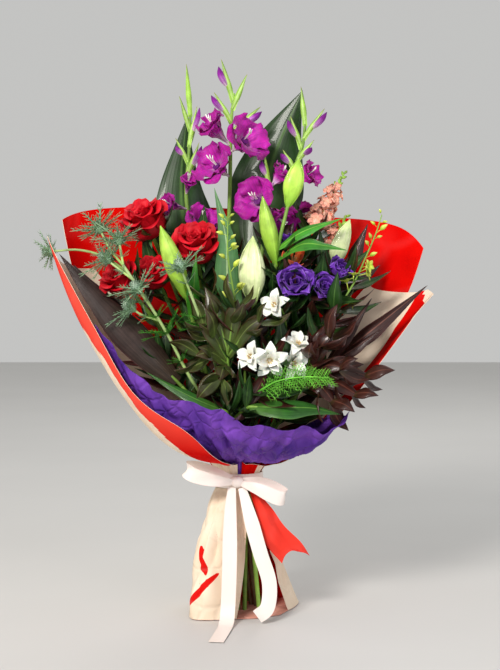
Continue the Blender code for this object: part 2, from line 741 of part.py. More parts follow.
def rose(centre, axis, size):
    """A closed middle and two whorls of broad petals that overlap. size is the radius of the head."""
    base = head_seat(centre, axis, size * 0.8, 2.6)
    tall = size * 1.5
    middle = [base + axis * tall * reach * MM for reach in (0, 0.2, 0.6, 1.02)]
    pieces = [tube(middle, [4.0, size * 0.4, size * 0.36, size * 0.16], 5)]
    wide = size * 0.62
    half_open = [(2, 2), (size * 0.62, tall * 0.24), (size * 0.76, tall * 0.62), (size * 0.74, tall * 0.92)]
    open_out = [(2, 1), (size * 0.7, tall * 0.08), (size * 0.98, tall * 0.46), (size * 1.06, tall * 0.68)]
    pieces += petals(base, axis, 3, half_open, [wide * 0.8, wide * 1.1], 0.5, -0.2)
    pieces += petals(base, axis, 4, open_out, [wide * 0.8, wide], 0.0, -0.2)
    return pieces


LISIANTHUS = {
    "lisianthus_front": (at(72, -66, 460), unit(-0.1, -0.8, 0.6), 20),
    "lisianthus_right": (at(111, -62, 454), unit(0.25, -0.8, 0.5), 16),
    "lisianthus_pale": (at(132, -42, 478), unit(0.5, -0.5, 0.7), 14),
    "lisianthus_back": (at(52, -14, 514), unit(0, -0.5, 0.86), 14),
}


def cup_bloom(centre, axis, size, count, spray):
    """A wide cup of ruffled petals in two whorls."""
    base = head_seat(centre, axis, size * 0.8, 1.6, spray)
    tall = size * 1.25
    middle = [base + axis * tall * reach * MM for reach in (0, 0.3, 0.5)]
    pieces = [tube(middle, [2.4, size * 0.4, size * 0.3], 5)]
    outer = [(1, 1), (size * 0.6, tall * 0.35), (size * 0.9, tall * 0.75), (size * 1.05, tall * 0.9)]
    inner = [(1, 1), (size * 0.5, tall * 0.7), (size * 0.5, tall * 1.1)]
    pieces += petals(base, axis, count, outer, [size * 0.45, size * 0.55], 0.0, -0.1)
    pieces += petals(base, axis, 3, inner, [size * 0.4], 0.3, -0.1)
    return pieces


LILIES = {
    "lily_left": {
        "stem": [at(-66, -48, 400), at(-76, -50, 440)],
        "buds": [(1, at(-111, -56, 537), 13)],
        "leaves": [(0.3, [at(-66, -66, 450), at(-62, -74, 500)], [8, 9], unit(0.2, -1, 0.2))],
    },
    "lily_centre": {
        "stem": [at(12, -50, 385), at(15, -58, 432)],
        "buds": [(1, at(14, -62, 523), 18)],
        "leaves": [
            (0.2, [at(-18, -40, 450), at(-23, -31, 520), at(-39, -20, 589)], [10, 18, 14],
             unit(-0.2, -1, 0.2)),
        ],
    },
    "lily_upper": {
        "stem": [at(42, -30, 440), at(47, -34, 500), at(62, -30, 566)],
        "buds": [(1, at(77, -28, 628), 13), (0.38, at(27, -38, 577), 11)],
        "leaves": [
            (0.42, [at(80, -60, 512), at(112, -72, 510), at(141, -76, 504)], [6, 8, 6], unit(0, -0.5, 0.8)),
            (0.55, [at(84, -46, 530), at(138, -44, 548)], [6, 7], unit(0, -0.6, 0.8)),
        ],
    },
    "lily_right": {
        "stem": [at(104, -8, 430), at(121, -8, 474)],
        "buds": [(1, at(148, -10, 546), 12)],
        "leaves": [],
    },
}


def lilies():
    """Closed buds on their stalks, with the lance leaves below them."""
    for name, plant in LILIES.items():
        stem = plant["stem"]
        seat = head_seat(stem[0], (stem[1] - stem[0]).normalized(), 0, 2.6)
        path = [seat, *stem[1:]]
        pieces = [tube(path, [2.6] * len(path), 5)]
        for place, tip, r in plant["buds"]:
            root = along_path(path, place)[0]
            root += (root - tip).normalized() * 4 * MM
            pieces.append(spindle(root, tip, [r * 0.55, r, r * 0.72], 6))
        for place, spine, halves, face in plant["leaves"]:
            pieces.append(leaf([along_path(path, place)[0], *spine], halves, face, cup=0.15))
        grow(name, "leaf_lily", pieces)


THISTLES = {
    "thistle_left": {
        "trunk": [
            at(-40, -84, 290), at(-70, -94, 335), at(-100, -90, 392), at(-128, -86, 438), at(-160, -74, 484),
        ],
        "branches": [
            (1.0, [at(-178, -60, 504), at(-192, -44, 528)]),
            (1.0, [at(-166, -58, 512)]),
            (0.7, [at(-136, -92, 448)]),
            (0.6, [at(-134, -86, 418), at(-144, -84, 424)]),
            (0.95, [at(-190, -46, 496), at(-228, -10, 504), at(-262, 4, 502)]),
            (0.9, [at(-178, -70, 488)]),
        ],
    },
    "thistle_right": {
        "trunk": [at(-30, -72, 330), at(-52, -84, 400), at(-70, -92, 450)],
        "branches": [(1.0, [at(-80, -96, 476)])],
    },
}


def thistle_head(end, axis):
    """A small cone with a star of stiff bracts below it."""
    first, second = square_to(axis)
    pieces = [spindle(end - axis * 2 * MM, end + axis * 19 * MM, [6.5], 5)]
    root = end + axis * 6 * MM
    for i in range(5):
        angle = 2 * math.pi * (i + 0.5) / 5
        out = first * math.cos(angle) + second * math.sin(angle)
        tip = root + (out * 20 + axis * (9 if i % 2 else 1)) * MM
        pieces.append(blade([root, tip], [2.6], out.cross(axis), 1.6))
    return pieces


def thistles():
    """Branched stems with spiny heads."""
    for name, plant in THISTLES.items():
        trunk = plant["trunk"]
        seat = head_seat(trunk[0], (trunk[1] - trunk[0]).normalized(), 0, 2.0)
        path = [seat, *trunk[1:]]
        pieces = [tube(path, [2.2] * len(path), 5)]
        for place, points in plant["branches"]:
            branch = [along_path(path, place)[0], *points]
            pieces.append(tube(branch, [1.8] * len(branch), 4))
            pieces += thistle_head(branch[-1], (branch[-1] - branch[-2]).normalized())
        grow(name, "thistle", pieces)


SNAPDRAGONS = {
    "snapdragon_upper": ([at(97, 14, 520), at(110, 20, 552), at(126, 23, 582), at(143, 24, 612)], 6),
    "snapdragon_lower": ([at(98, 10, 466), at(112, 14, 492), at(128, 18, 520), at(146, 22, 552)], 5),
}


def snapdragons():
    """Spikes of two-lipped florets that get smaller to the tip."""
    for name, (stem, florets) in SNAPDRAGONS.items():
        seat = head_seat(stem[0], (stem[1] - stem[0]).normalized(), 0, 1.9, "snapdragons")
        path = smooth([seat, *stem[1:]], 4)
        pieces = [tube(path, [1.9, 1.8, 1.6, 0.9], 4)]
        for i in range(florets):
            place = 0.14 + 0.84 * i / (florets - 1)
            root, along = along_path(path, place)
            first, second = square_to(along)
            angle = math.radians(137.5) * i
            out = first * math.cos(angle) + second * math.sin(angle)
            grown = (1 - 0.6 * place) * MM
            mouth = root + (out * 17 + along * 8) * grown
            side = out.cross(along)
            pieces.append(spindle(root, mouth + (out + along) * 2 * grown, [6.5 * grown / MM], 4))
            inside = root.lerp(mouth, 0.45)
            pieces.append(blade([inside, mouth + along * 10 * grown], [8.5 * grown / MM], side))
            pieces.append(blade([inside, mouth + (out * 8 - along * 9) * grown], [8 * grown / MM], side))
        grow(name, "petal_peach", pieces)


BUD_SPRAYS = {
    "bud_spray_right": [
        at(128, -62, 424), at(152, -54, 462), at(168, -46, 496), at(182, -38, 528), at(190, -32, 552),
    ],
    "bud_spray_left": [
        at(-6, -76, 420), at(-14, -76, 460), at(-20, -72, 500), at(-20, -64, 532), at(-21, -58, 550),
    ],
}


def bud_sprays():
    """Thin stems with small round buds on short stalks, side to side."""
    for name, stem in BUD_SPRAYS.items():
        seat = head_seat(stem[0], (stem[1] - stem[0]).normalized(), 0, 1.5)
        path = smooth([seat, *stem[1:]], 5)
        pieces = [tube(path, [1.5, 1.3, 1.2, 1.0, 0.8], 4)]
        for i in range(9):
            place = 0.15 + 0.83 * i / 8
            root, along = along_path(path, place)
            side = along.cross(FRONT).normalized() * (1 if i % 2 else -1)
            out = (side + along * 0.9 + FRONT * 0.3).normalized()
            size = 4.4 - 2 * place
            pieces.append(spindle(root, root + out * (9 + 2.2 * size) * MM, [0.9, size], 4))
        grow(name, "bud_lime", pieces)


WHITES = {
    "white_blooms_left": [
        (at(10, -124, 364), unit(-0.3, -0.9, 0.3), 15),
        (at(36, -124, 360), unit(0.2, -0.9, 0.2), 18),
    ],
    "white_blooms_right": [
        (at(68, -116, 356), unit(0.3, -0.9, 0.1), 17),
        (at(74, -106, 382), unit(0.2, -0.6, 0.7), 13),
    ],
    "white_bloom_top": [(at(42, -84, 432), unit(-0.2, -0.7, 0.6), 13)],
}


def star_bloom(centre, axis, size):
    """Five broad pointed petals and a small throat."""
    base = centre - axis * size * 0.6 * MM
    flat = [(0.5, size * 0.2), (size * 0.7, size * 0.58), (size * 1.04, size * 0.6)]
    pieces = [tube([base - axis * 2 * MM, base + axis * size * 0.5 * MM], [1.6, 2.8], 4)]
    pieces += petals(base, axis, 5, flat, [size * 0.4], 0.25, -0.1)
    return pieces


def whites():
    """White star blooms, each group on one short stalk."""
    for name, blooms in WHITES.items():
        middle = sum((centre for centre, _, _ in blooms), Vector()) / len(blooms)
        axis = blooms[0][1].lerp(blooms[-1][1], 0.5).normalized()
        rise = (axis + UP * 0.7).normalized()
        fork = middle - axis * 24 * MM
        seat = head_seat(fork, rise, 6, 1.6, "whites")
        pieces = [tube([seat, fork + rise * MM], [1.8, 1.8], 4)]
        for centre, face, size in blooms:
            pieces.append(tube([fork - rise * 2 * MM, centre - face * size * 0.55 * MM], [1.7, 1.7], 4))
            pieces += star_bloom(centre, face, size)
        grow(name, "petal_white", pieces)


# Leaves

CORDYLINES = {
    "cordyline_long": [
        ([at(-88, -66, 326), at(-140, -72, 388), at(-194, -64, 446), at(-246, -54, 497)],
         [8, 17, 12], unit(0.3, -1, 0.5)),
    ],
    "cordyline_left": [
        ([at(-118, -38, 362), at(-160, -36, 404), at(-196, -34, 444), at(-232, -30, 484)],
         [6, 11, 8], unit(0.3, -1, 0.6)),
    ],
    "cordyline_right": [
        ([at(112, -58, 346), at(160, -60, 384), at(206, -52, 420), at(252, -40, 456)],
         [7, 13, 9], unit(-0.3, -1, 0.6)),
        ([at(112, -58, 346), at(140, -74, 390), at(173, -78, 440)], [7, 9], unit(-0.3, -1, 0.4)),
        ([at(112, -58, 346), at(150, -74, 372), at(186, -76, 398)], [7, 9], unit(-0.3, -1, 0.8)),
    ],
    "cordyline_tall": [
        ([at(140, -6, 462), at(156, 0, 500), at(174, 6, 540)], [8, 10], unit(-0.3, -1, 0.3)),
    ],
}


def cordylines():
    """Long dark leaves, folded along the middle."""
    for name, blades in CORDYLINES.items():
        root = blades[0][0][0]
        axis = (blades[0][0][1] - root).normalized()
        seat = head_seat(root, axis, 8, 2.2, "cordyline_" + ("left" if root.x < 0 else "right"))
        pieces = [tube([seat, root + axis * 10 * MM], [2.4, 2.0], 5)]
        pieces += [leaf(spine, halves, face, 1.4, 0.3) for spine, halves, face in blades]
        grow(name, "cordyline", pieces)


ASPIDISTRAS = {
    "aspidistra_back_left": (
        [at(-50, 58, 420), at(-78, 78, 500), at(-90, 92, 590), at(-82, 98, 692)],
        [16, 33, 36, 22], unit(0.1, -1, 0.1)),
    "aspidistra_back_right": (
        [at(14, 62, 440), at(28, 84, 540), at(50, 98, 640), at(86, 104, 733)],
        [18, 34, 38, 26], unit(-0.1, -1, 0.1)),
    "aspidistra_front_right": (
        [at(10, -132, 300), at(50, -140, 300), at(92, -131, 298), at(130, -116, 288)],
        [14, 17, 12], unit(0.2, -0.7, 0.8)),
    "aspidistra_front_left": (
        [at(-22, -114, 292), at(-60, -120, 308), at(-98, -108, 326), at(-128, -96, 342)],
        [8, 9, 6], unit(0, -0.7, 0.8)),
}


def aspidistras():
    """Broad dark leaves: two stand behind, two lie along the front rim."""
    for name, (spine, halves, face) in ASPIDISTRAS.items():
        along = (spine[1] - spine[0]).normalized()
        axis = ((spine[0] - at(NECK_X, 0, NECK_HEIGHT)).normalized() + along).normalized()
        seat = head_seat(spine[0], axis, 6, 2.0)
        pieces = [tube([seat, spine[0], spine[0] + along * 8 * MM], [2.2, 2.2, 1.8], 5)]
        pieces.append(leaf(spine, halves, face, 1.4, 0.15))
        grow(name, "leaf_dark", pieces)


BURGUNDY = {
    "burgundy_left": {
        "stem": [at(-14, -62, 290), at(-18, -78, 330), at(-20, -92, 372)],
        "tips": [
            at(-50, -84, 455), at(-6, -104, 440), at(30, -112, 418),
            at(-58, -104, 408), at(-62, -112, 366), at(-30, -128, 334),
        ],
    },
    "burgundy_right": {
        "stem": [at(60, -56, 286), at(76, -74, 314), at(90, -92, 342)],
        "tips": [
            at(120, -104, 396), at(176, -104, 334), at(136, -122, 350),
            at(160, -108, 308), at(124, -112, 300), at(98, -112, 386),
        ],
    },
}


def burgundies():
    """Short leafy stems with broad arching leaves."""
    for name, plant in BURGUNDY.items():
        stem = plant["stem"]
        axis = (stem[1] - stem[0]).normalized()
        seat = head_seat(stem[0], axis, 0, 2.2)
        pieces = [tube([seat, *stem[1:]], [2.4, 2.2, 1.8], 5)]
        for i, tip in enumerate(plant["tips"]):
            root = catmull(stem, 1 - 0.06 * i)
            middle = root.lerp(tip, 0.5) + at(0, -6, 10)
            pieces.append(leaf([root, middle, tip], [9, 12, 8], unit(0, -1, 0.7), cup=0.2))
        grow(name, "burgundy", pieces)


FERN = [at(20, -118, 318), at(46, -134, 334), at(80, -138, 340), at(114, -128, 338)]


def fern():
    """One frond: leaflets to both sides of an arching rib."""
    seat = head_seat(FERN[0], (FERN[1] - FERN[0]).normalized(), 0, 1.4)
    path = smooth([seat, *FERN[1:]], 5)
    pieces = [tube(path, [1.5, 1.3, 1.2, 1.1, 0.8], 4)]
    for i in range(16):
        place = 0.1 + 0.88 * i / 15
        root, along = along_path(path, place)
        side = along.cross(unit(0, -0.8, 0.6)).normalized() * (1 if i % 2 else -1)
        tip = root + (side * 20 + along * 12) * (1 - 0.5 * place) * MM
        pieces.append(blade([root, tip], [3.2], along))
    grow("fern", "fern", pieces)


def build():
    for old in list(bpy.data.objects):
        bpy.data.objects.remove(old)
    wrapping()
    foot()
    ribbon()
    gladioli()
    for name, (centre, axis, size) in ROSES.items():
        grow(name, "petal_red", rose(centre, axis, size))
    for name, (centre, axis, size) in LISIANTHUS.items():
        grow(name, "petal_violet", cup_bloom(centre, axis, size, 5, "lisianthus"))
    grow("alstroemeria", "petal_orange", cup_bloom(at(70, -36, 492), unit(0.1, -0.7, 0.7), 12, 5, None))
    lilies()
    thistles()
    snapdragons()
    bud_sprays()
    whites()
    cordylines()
    aspidistras()
    burgundies()
    fern()
    bundle()


build()
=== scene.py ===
# %% [markdown]
# A tied flower sheaf, dressed piece by piece. The solids of the sheaf are loaded as a fixed frame, and
# every piece below takes the place of one of them, with finer petals, leaves and paper and a finish of
# its own. All places are written in millimetres, in the frame of the solids, and turned to metres.

# %% The frame
import math
from functools import cache

import bpy
import numpy as np
from mathutils import Matrix, Vector, noise
from mathutils.bvhtree import BVHTree


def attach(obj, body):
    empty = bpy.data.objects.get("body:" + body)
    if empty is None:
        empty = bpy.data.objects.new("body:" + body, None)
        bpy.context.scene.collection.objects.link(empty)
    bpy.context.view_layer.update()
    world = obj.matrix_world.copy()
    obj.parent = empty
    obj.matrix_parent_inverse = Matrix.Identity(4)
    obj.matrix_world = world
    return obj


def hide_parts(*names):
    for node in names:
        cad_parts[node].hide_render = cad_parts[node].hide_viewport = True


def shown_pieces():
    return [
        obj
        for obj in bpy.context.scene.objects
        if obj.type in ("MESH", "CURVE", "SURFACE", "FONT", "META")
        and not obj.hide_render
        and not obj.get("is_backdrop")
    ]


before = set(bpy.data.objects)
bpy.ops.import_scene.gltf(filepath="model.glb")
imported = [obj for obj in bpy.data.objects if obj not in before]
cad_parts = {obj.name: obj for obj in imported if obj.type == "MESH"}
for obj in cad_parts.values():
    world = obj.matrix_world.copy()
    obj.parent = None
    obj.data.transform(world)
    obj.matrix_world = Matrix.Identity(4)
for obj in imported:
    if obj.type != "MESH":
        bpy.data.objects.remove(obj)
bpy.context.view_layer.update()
print("frame", len(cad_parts), "nodes")

# %% [markdown]
# Petals and leaves follow smooth curves through a few given points. A Catmull-Rom curve is right
# for this, because it passes through its points, so a leaf starts on its stem and ends at its tip.

# %% Places and curves
MM = 0.001
UP = Vector((0, 0, 1))
FRONT = Vector((0, -1, 0))


def at(x, y, z):
    """A place given in millimetres."""
    return Vector((x, y, z)) * MM


def unit(x, y, z):
    """A direction."""
    return Vector((x, y, z)).normalized()


def through(points, places):
    """The points at places from 0 to 1 on the smooth curve through the given ones, all as arrays."""
    points = np.asarray([tuple(p) if hasattr(p, "__len__") else (p,) for p in points], float)
    spans = len(points) - 1
    run = np.clip(np.asarray(places, float), 0, 1) * spans
    span = np.minimum(run.astype(int), spans - 1)
    t = (run - span)[:, None]
    padded = np.vstack([points[0] * 2 - points[1], points, points[-1] * 2 - points[-2]])
    a, b, c, d = (padded[span + k] for k in range(4))
    return 0.5 * (b * 2 + (c - a) * t + (a * 2 - b * 5 + c * 4 - d) * t**2 + (b * 3 - a - c * 3 + d) * t**3)


def unit_rows(rows):
    """Each row of an array made one long."""
    return rows / np.maximum(np.linalg.norm(rows, axis=-1, keepdims=True), 1e-12)


def along_path(path, place):
    """The point at a place from 0 to 1 on straight runs between the points, and the direction there."""
    span = min(int(place * (len(path) - 1)), len(path) - 2)
    run = path[span + 1] - path[span]
    return path[span] + run * (place * (len(path) - 1) - span), run.normalized()


def square_to(axis):
    """Two directions square to an axis and to each other, the first as near level as it can be."""
    level = UP.cross(axis)
    first = level.normalized() if level.length > 0.1 else FRONT.cross(axis).normalized()
    return first, axis.cross(first).normalized()


# %% [markdown]
# One bloom has dozens of petals, so a piece gathers the points and faces of all its blades, rods and
# pods before it becomes one mesh. Each point also keeps three values that the finishes read: how far
# along its petal it lies, how far across, and a tint of its petal's own.

# %% Gathering a piece
tints = np.random.default_rng(11)


class Growth:
    """What a piece is made of so far. finish is the place of a face's material in the piece's list."""

    def __init__(self):
        self.points, self.faces, self.blade, self.finishes = [], [], [], []
        self.count = 0

    def add(self, points, faces, along, across, finish, tint):
        own = tints.uniform() if tint is None else tint
        points = np.asarray(points, float).reshape(-1, 3)
        self.points.append(points)
        self.blade.append(np.stack(np.broadcast_arrays(np.ravel(along), np.ravel(across), own), -1))
        self.faces += [tuple(i + self.count for i in face) for face in faces]
        self.finishes += [finish] * len(faces) if np.isscalar(finish) else list(finish)
        self.count += len(points)


def mesh_of(name, growth):
    """The growth as a mesh whose points carry their three values."""
    mesh = bpy.data.meshes.new(name)
    mesh.from_pydata(np.vstack(growth.points).tolist(), [], growth.faces)
    attribute = mesh.attributes.new("blade", "FLOAT_VECTOR", "POINT")
    attribute.data.foreach_set("vector", np.vstack(growth.blade).astype(np.float32).ravel())
    mesh.shade_smooth()
    return mesh


def make_piece(name, growth, skins, slot, *nodes):
    """The growth as one object that rides on the sheaf, in place of those nodes or of its namesake."""
    mesh = mesh_of(name, growth)
    for skin in skins:
        mesh.materials.append(SKINS[skin])
    mesh.polygons.foreach_set("material_index", np.asarray(growth.finishes, np.int32))
    mesh.set_sharp_from_angle(angle=math.radians(60))
    piece = bpy.data.objects.new(name, mesh)
    bpy.context.scene.collection.objects.link(piece)
    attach(piece, "root")
    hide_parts(*(nodes or [name]))
    print(name, len(mesh.polygons), "faces")
    return piece


# %% [markdown]
# A petal or a leaf is one blade: a grid along a bent spine, lifted at its edges and ruffled near them.
# It is modelled as a thin lens, two skins that meet at the rim, so it is closed and casts a true shadow.

# %% Blades
def quads(index):
    """The corners of each square of a grid of point numbers."""
    return np.stack([index[:-1, :-1], index[1:, :-1], index[1:, 1:], index[:-1, 1:]], -1).reshape(-1, 4).tolist()


@cache
def lens_faces(rows, columns):
    """Faces of the two skins, and which points of the grid the far skin has as its own."""
    index = np.arange((rows + 1) * (columns + 1)).reshape(rows + 1, columns + 1)
    inner = index[1:-1, 1:-1].ravel()
    far = index.copy()
    far[1:-1, 1:-1] = (index.size + np.arange(inner.size)).reshape(rows - 1, columns - 1)
    return [tuple(q) for q in quads(index)] + [tuple(q[::-1]) for q in quads(far)], inner


def blade(growth, spine, halves, across, rows=10, columns=6, cup=0.0, ruffle=0.0, waves=3.0, thick=0.6,
          finish=0, tint=None):
    """A leaf or petal along a spine. halves are its half-widths from root to tip, in millimetres.

    cup lifts both edges, and ruffle is the height of their waves, both as a share of the half-width.
    thick is the thickness at the middle, in millimetres.
    """
    t, x = np.linspace(0, 1, rows + 1), np.linspace(-1, 1, columns + 1)
    points = through(spine, t)
    ahead = unit_rows(np.gradient(points, axis=0))
    first, last = across if isinstance(across, tuple) else (across, across)
    side = np.asarray(first) * (1 - t[:, None]) + np.asarray(last) * t[:, None]
    side = unit_rows(side - ahead * np.sum(side * ahead, axis=1, keepdims=True))
    face = np.cross(side, ahead)
    wide = np.maximum(through(halves, t)[:, 0], 0.12) * MM
    phase = 2 * math.pi * waves * t[:, None] + tints.uniform(0, 2 * math.pi) + np.where(x > 0, 0.0, 1.7)
    wave = np.sin(phase) * np.abs(x) ** 2.2
    lift = wide[:, None] * (cup * x**2 + ruffle * wave * np.minimum(1, 4 * t * (1.15 - t))[:, None])
    grid = points[:, None] + side[:, None] * (wide[:, None] * x)[..., None] + face[:, None] * lift[..., None]
    faces, inner = lens_faces(rows, columns)
    normals = unit_rows(np.cross(np.gradient(grid, axis=0), np.gradient(grid, axis=1)))
    half = normals.reshape(-1, 3)[inner] * (thick * MM) / 2
    near = grid.reshape(-1, 3).copy()
    near[inner] += half
    along, over = np.repeat(t, columns + 1), np.tile(x, rows + 1)
    growth.add(np.vstack([near, near[inner] - half * 2]), faces, np.r_[along, along[inner]],
               np.r_[over, over[inner]], finish, tint)


def leaf(growth, spine, halves, face, **shape):
    """A blade whose broad side looks towards face."""
    first = (spine[1] - spine[0]).cross(face).normalized()
    last = (spine[-1] - spine[-2]).cross(face).normalized()
    shape["cup"] = -shape.get("cup", 0.0)
    blade(growth, spine, halves, (first, last), **shape)


# %% [markdown]
# Stems, stalks, buds and pods are all one shape with other numbers: a round section swept along a
# path, whose radius changes on the way. Ridges round the section make the seams of a bud.

# %% Rods and pods
def pod(growth, path, radii, sides, rows, ridges=0, ridge=0.0, finish=0, tint=None):
    """A round body along a path, radii in millimetres from end to end, closed at both ends."""
    t = np.linspace(0, 1, rows + 1)
    points = through(path, t)
    ahead = unit_rows(np.gradient(points, axis=0))
    first = np.asarray(square_to(Vector(ahead[0]))[0])
    sides_at = np.linspace(0, 2 * math.pi, sides, endpoint=False)
    radius = np.maximum(through(radii, t)[:, 0], 0.05) * MM
    rings = []
    for i in range(rows + 1):
        first = first - ahead[i] * first.dot(ahead[i])
        first = first / np.linalg.norm(first)
        second = np.cross(ahead[i], first)
        swell = radius[i] * (1 + ridge * np.cos(ridges * sides_at))
        level, tall = (np.cos(sides_at) * swell)[:, None], (np.sin(sides_at) * swell)[:, None]
        rings.append(points[i] + first * level + second * tall)
    body = np.vstack(rings + [points[:1], points[-1:]])
    faces = []
    for r in range(rows):
        for s in range(sides):
            a, b = r * sides + s, r * sides + (s + 1) % sides
            faces.append((a, b, b + sides, a + sides))
    start, end, last = len(body) - 2, len(body) - 1, rows * sides
    for s in range(sides):
        faces.append((start, (s + 1) % sides, s))
        faces.append((end, last + s, last + (s + 1) % sides))
    along = np.r_[np.repeat(t, sides), 0, 1]
    across = np.r_[np.tile(np.cos(sides_at), rows + 1), 0, 0]
    growth.add(body, faces, along, across, finish, tint)


# %% [markdown]
# A sheet of paper or a ribbon keeps one thickness up to its cut edge, so it is a plate: two skins a
# paper's thickness apart and a narrow rim. Each skin may have a face of its own, as duplex paper has.

# %% Plates
def plate(growth, grid, thick, near_finish=0, far_finish=0, blade_values=None):
    """A sheet through a grid of points. A finish is one number, or one for each square of the grid."""
    rows, columns = grid.shape[0] - 1, grid.shape[1] - 1
    normals = unit_rows(np.cross(np.gradient(grid, axis=0), np.gradient(grid, axis=1)))
    half = normals * thick * MM / 2
    size = (rows + 1) * (columns + 1)
    index = np.arange(size).reshape(rows + 1, columns + 1)
    loop = np.concatenate([index[:-1, 0], index[-1, :-1], index[:0:-1, -1], index[0, :0:-1]]).tolist()
    faces = [tuple(q) for q in quads(index)] + [tuple(q[::-1]) for q in quads(index + size)]
    faces += [(b, a, a + size, b + size) for a, b in zip(loop, loop[1:] + loop[:1])]
    near, far = (np.broadcast_to(np.ravel(f), rows * columns).tolist() for f in (near_finish, far_finish))
    if blade_values is None:
        down, over = np.meshgrid(np.linspace(0, 1, rows + 1), np.linspace(-1, 1, columns + 1), indexing="ij")
        blade_values = down, over, 0.5
    along, across, tint = blade_values
    tint = np.tile(np.ravel(np.broadcast_to(tint, (rows + 1, columns + 1))), 2)
    growth.add(np.concatenate([grid + half, grid - half]).reshape(-1, 3), faces,
               np.tile(np.ravel(along), 2), np.tile(np.ravel(across), 2), near + far + [near[0]] * len(loop), tint)


# %% [markdown]
# A material is a small tree of nodes. One helper adds a node with its settings and what feeds it, and
# one turns the sRGB colours, as a paint chart gives them, to the linear ones that light uses.

# %% Nodes and colours
def feed(tree, node, given):
    """given maps an input to a value, to the socket that feeds it, or to a node whose first output does."""
    for key, value in given.items():
        if isinstance(value, bpy.types.Node):
            value = value.outputs[0]
        if isinstance(value, bpy.types.NodeSocket):
            tree.links.new(value, node.inputs[key])
        else:
            node.inputs[key].default_value = value


def add(tree, kind, given=None, **settings):
    """A new node with its settings and what feeds it."""
    node = tree.nodes.new(kind)
    for key, value in settings.items():
        setattr(node, key, value)
    feed(tree, node, given or {})
    return node


def to_linear(code):
    """An sRGB colour such as #ff8800 as linear red, green, blue and alpha."""
    parts = [int(code[i : i + 2], 16) / 255 for i in (1, 3, 5)]
    return [p / 12.92 if p <= 0.04045 else ((p + 0.055) / 1.055) ** 2.4 for p in parts] + [1.0]


def blank(name, **sockets):
    """A new material with its tree and its shader. sockets are values that hold all over the surface."""
    material = bpy.data.materials.new(name)
    material.use_nodes = True
    tree = material.node_tree
    shader = tree.nodes["Principled BSDF"]
    values = {"Specular_IOR_Level": 0.28, **sockets}
    feed(tree, shader, {key.replace("_", " "): value for key, value in values.items()})
    return material, tree, shader


def blade_values(tree):
    """The three values of a point: along its blade, across it, and its own tint."""
    carried = add(tree, "ShaderNodeAttribute", attribute_name="blade").outputs["Vector"]
    return add(tree, "ShaderNodeSeparateXYZ", {0: carried}).outputs


# %% [markdown]
# Petals and leaves are made of cells in rows, so both take one kind of material: a colour that changes
# from root to tip, streaks or veins that run along the blade, a rib down its middle, a rim, and slow
# mottling. It reads the three values that every blade carries, so the pattern follows the blade.

# %% Petal and leaf skins
def grown_skin(name, stops, vein, veins, share, rib=None, rim=None, rim_from=0.8, relief=0.25,
               mottle=0.22, roughness=0.5, **sockets):
    """stops are (place along, colour). veins is how many cross half the blade, share how strong they are."""
    material, tree, shader = blank(name, **sockets)
    along, across, own = blade_values(tree)
    ramp = add(tree, "ShaderNodeValToRGB", {0: along})
    while len(ramp.color_ramp.elements) < len(stops):
        ramp.color_ramp.elements.new(0.5)
    for element, (place, colour) in zip(ramp.color_ramp.elements, stops):
        element.position, element.color = place, to_linear(colour)
    spread = [add(tree, "ShaderNodeMath", {0: value, 1: times}, operation="MULTIPLY")
              for value, times in ((across, veins), (along, 1.6), (own, 37))]
    streaks_at = add(tree, "ShaderNodeCombineXYZ", dict(enumerate(spread)))
    streaks = add(tree, "ShaderNodeTexNoise", {"Vector": streaks_at, "Scale": 1, "Detail": 3})
    strength = add(tree, "ShaderNodeMapRange", {0: streaks, 1: 0.42, 2: 0.68, 3: 0, 4: share})
    colour = add(tree, "ShaderNodeMix", {0: strength, 6: ramp, 7: to_linear(vein)}, data_type="RGBA").outputs[2]
    aside = add(tree, "ShaderNodeMath", {0: across}, operation="ABSOLUTE")
    for tone, near, far, within, beyond in ((rib, 0.02, 0.1, 0.75, 0), (rim, rim_from, 1, 0, 0.7)):
        if tone:
            amount = add(tree, "ShaderNodeMapRange", {0: aside, 1: near, 2: far, 3: within, 4: beyond})
            colour = add(tree, "ShaderNodeMix", {0: amount, 6: colour, 7: to_linear(tone)},
                         data_type="RGBA").outputs[2]
    # The mottling is in patches some 14 mm wide
    where = add(tree, "ShaderNodeTexCoord").outputs["Object"]
    patches = add(tree, "ShaderNodeTexNoise", {"Vector": where, "Scale": 70, "Detail": 3})
    light = add(tree, "ShaderNodeMapRange", {0: patches, 1: 0.3, 2: 0.7, 3: 1 - mottle, 4: 1 + mottle})
    own_light = add(tree, "ShaderNodeMapRange", {0: own, 3: 0.84, 4: 1.16})
    value = add(tree, "ShaderNodeMath", {0: light, 1: own_light}, operation="MULTIPLY")
    toned = add(tree, "ShaderNodeHueSaturation", {"Value": value, "Color": colour})
    gloss = add(tree, "ShaderNodeMapRange", {0: streaks, 3: roughness - 0.12, 4: roughness + 0.12})
    bump = add(tree, "ShaderNodeBump", {"Height": streaks, "Strength": relief, "Distance": 1.2 * MM})
    feed(tree, shader, {"Base Color": toned, "Roughness": gloss, "Normal": bump})
    return material


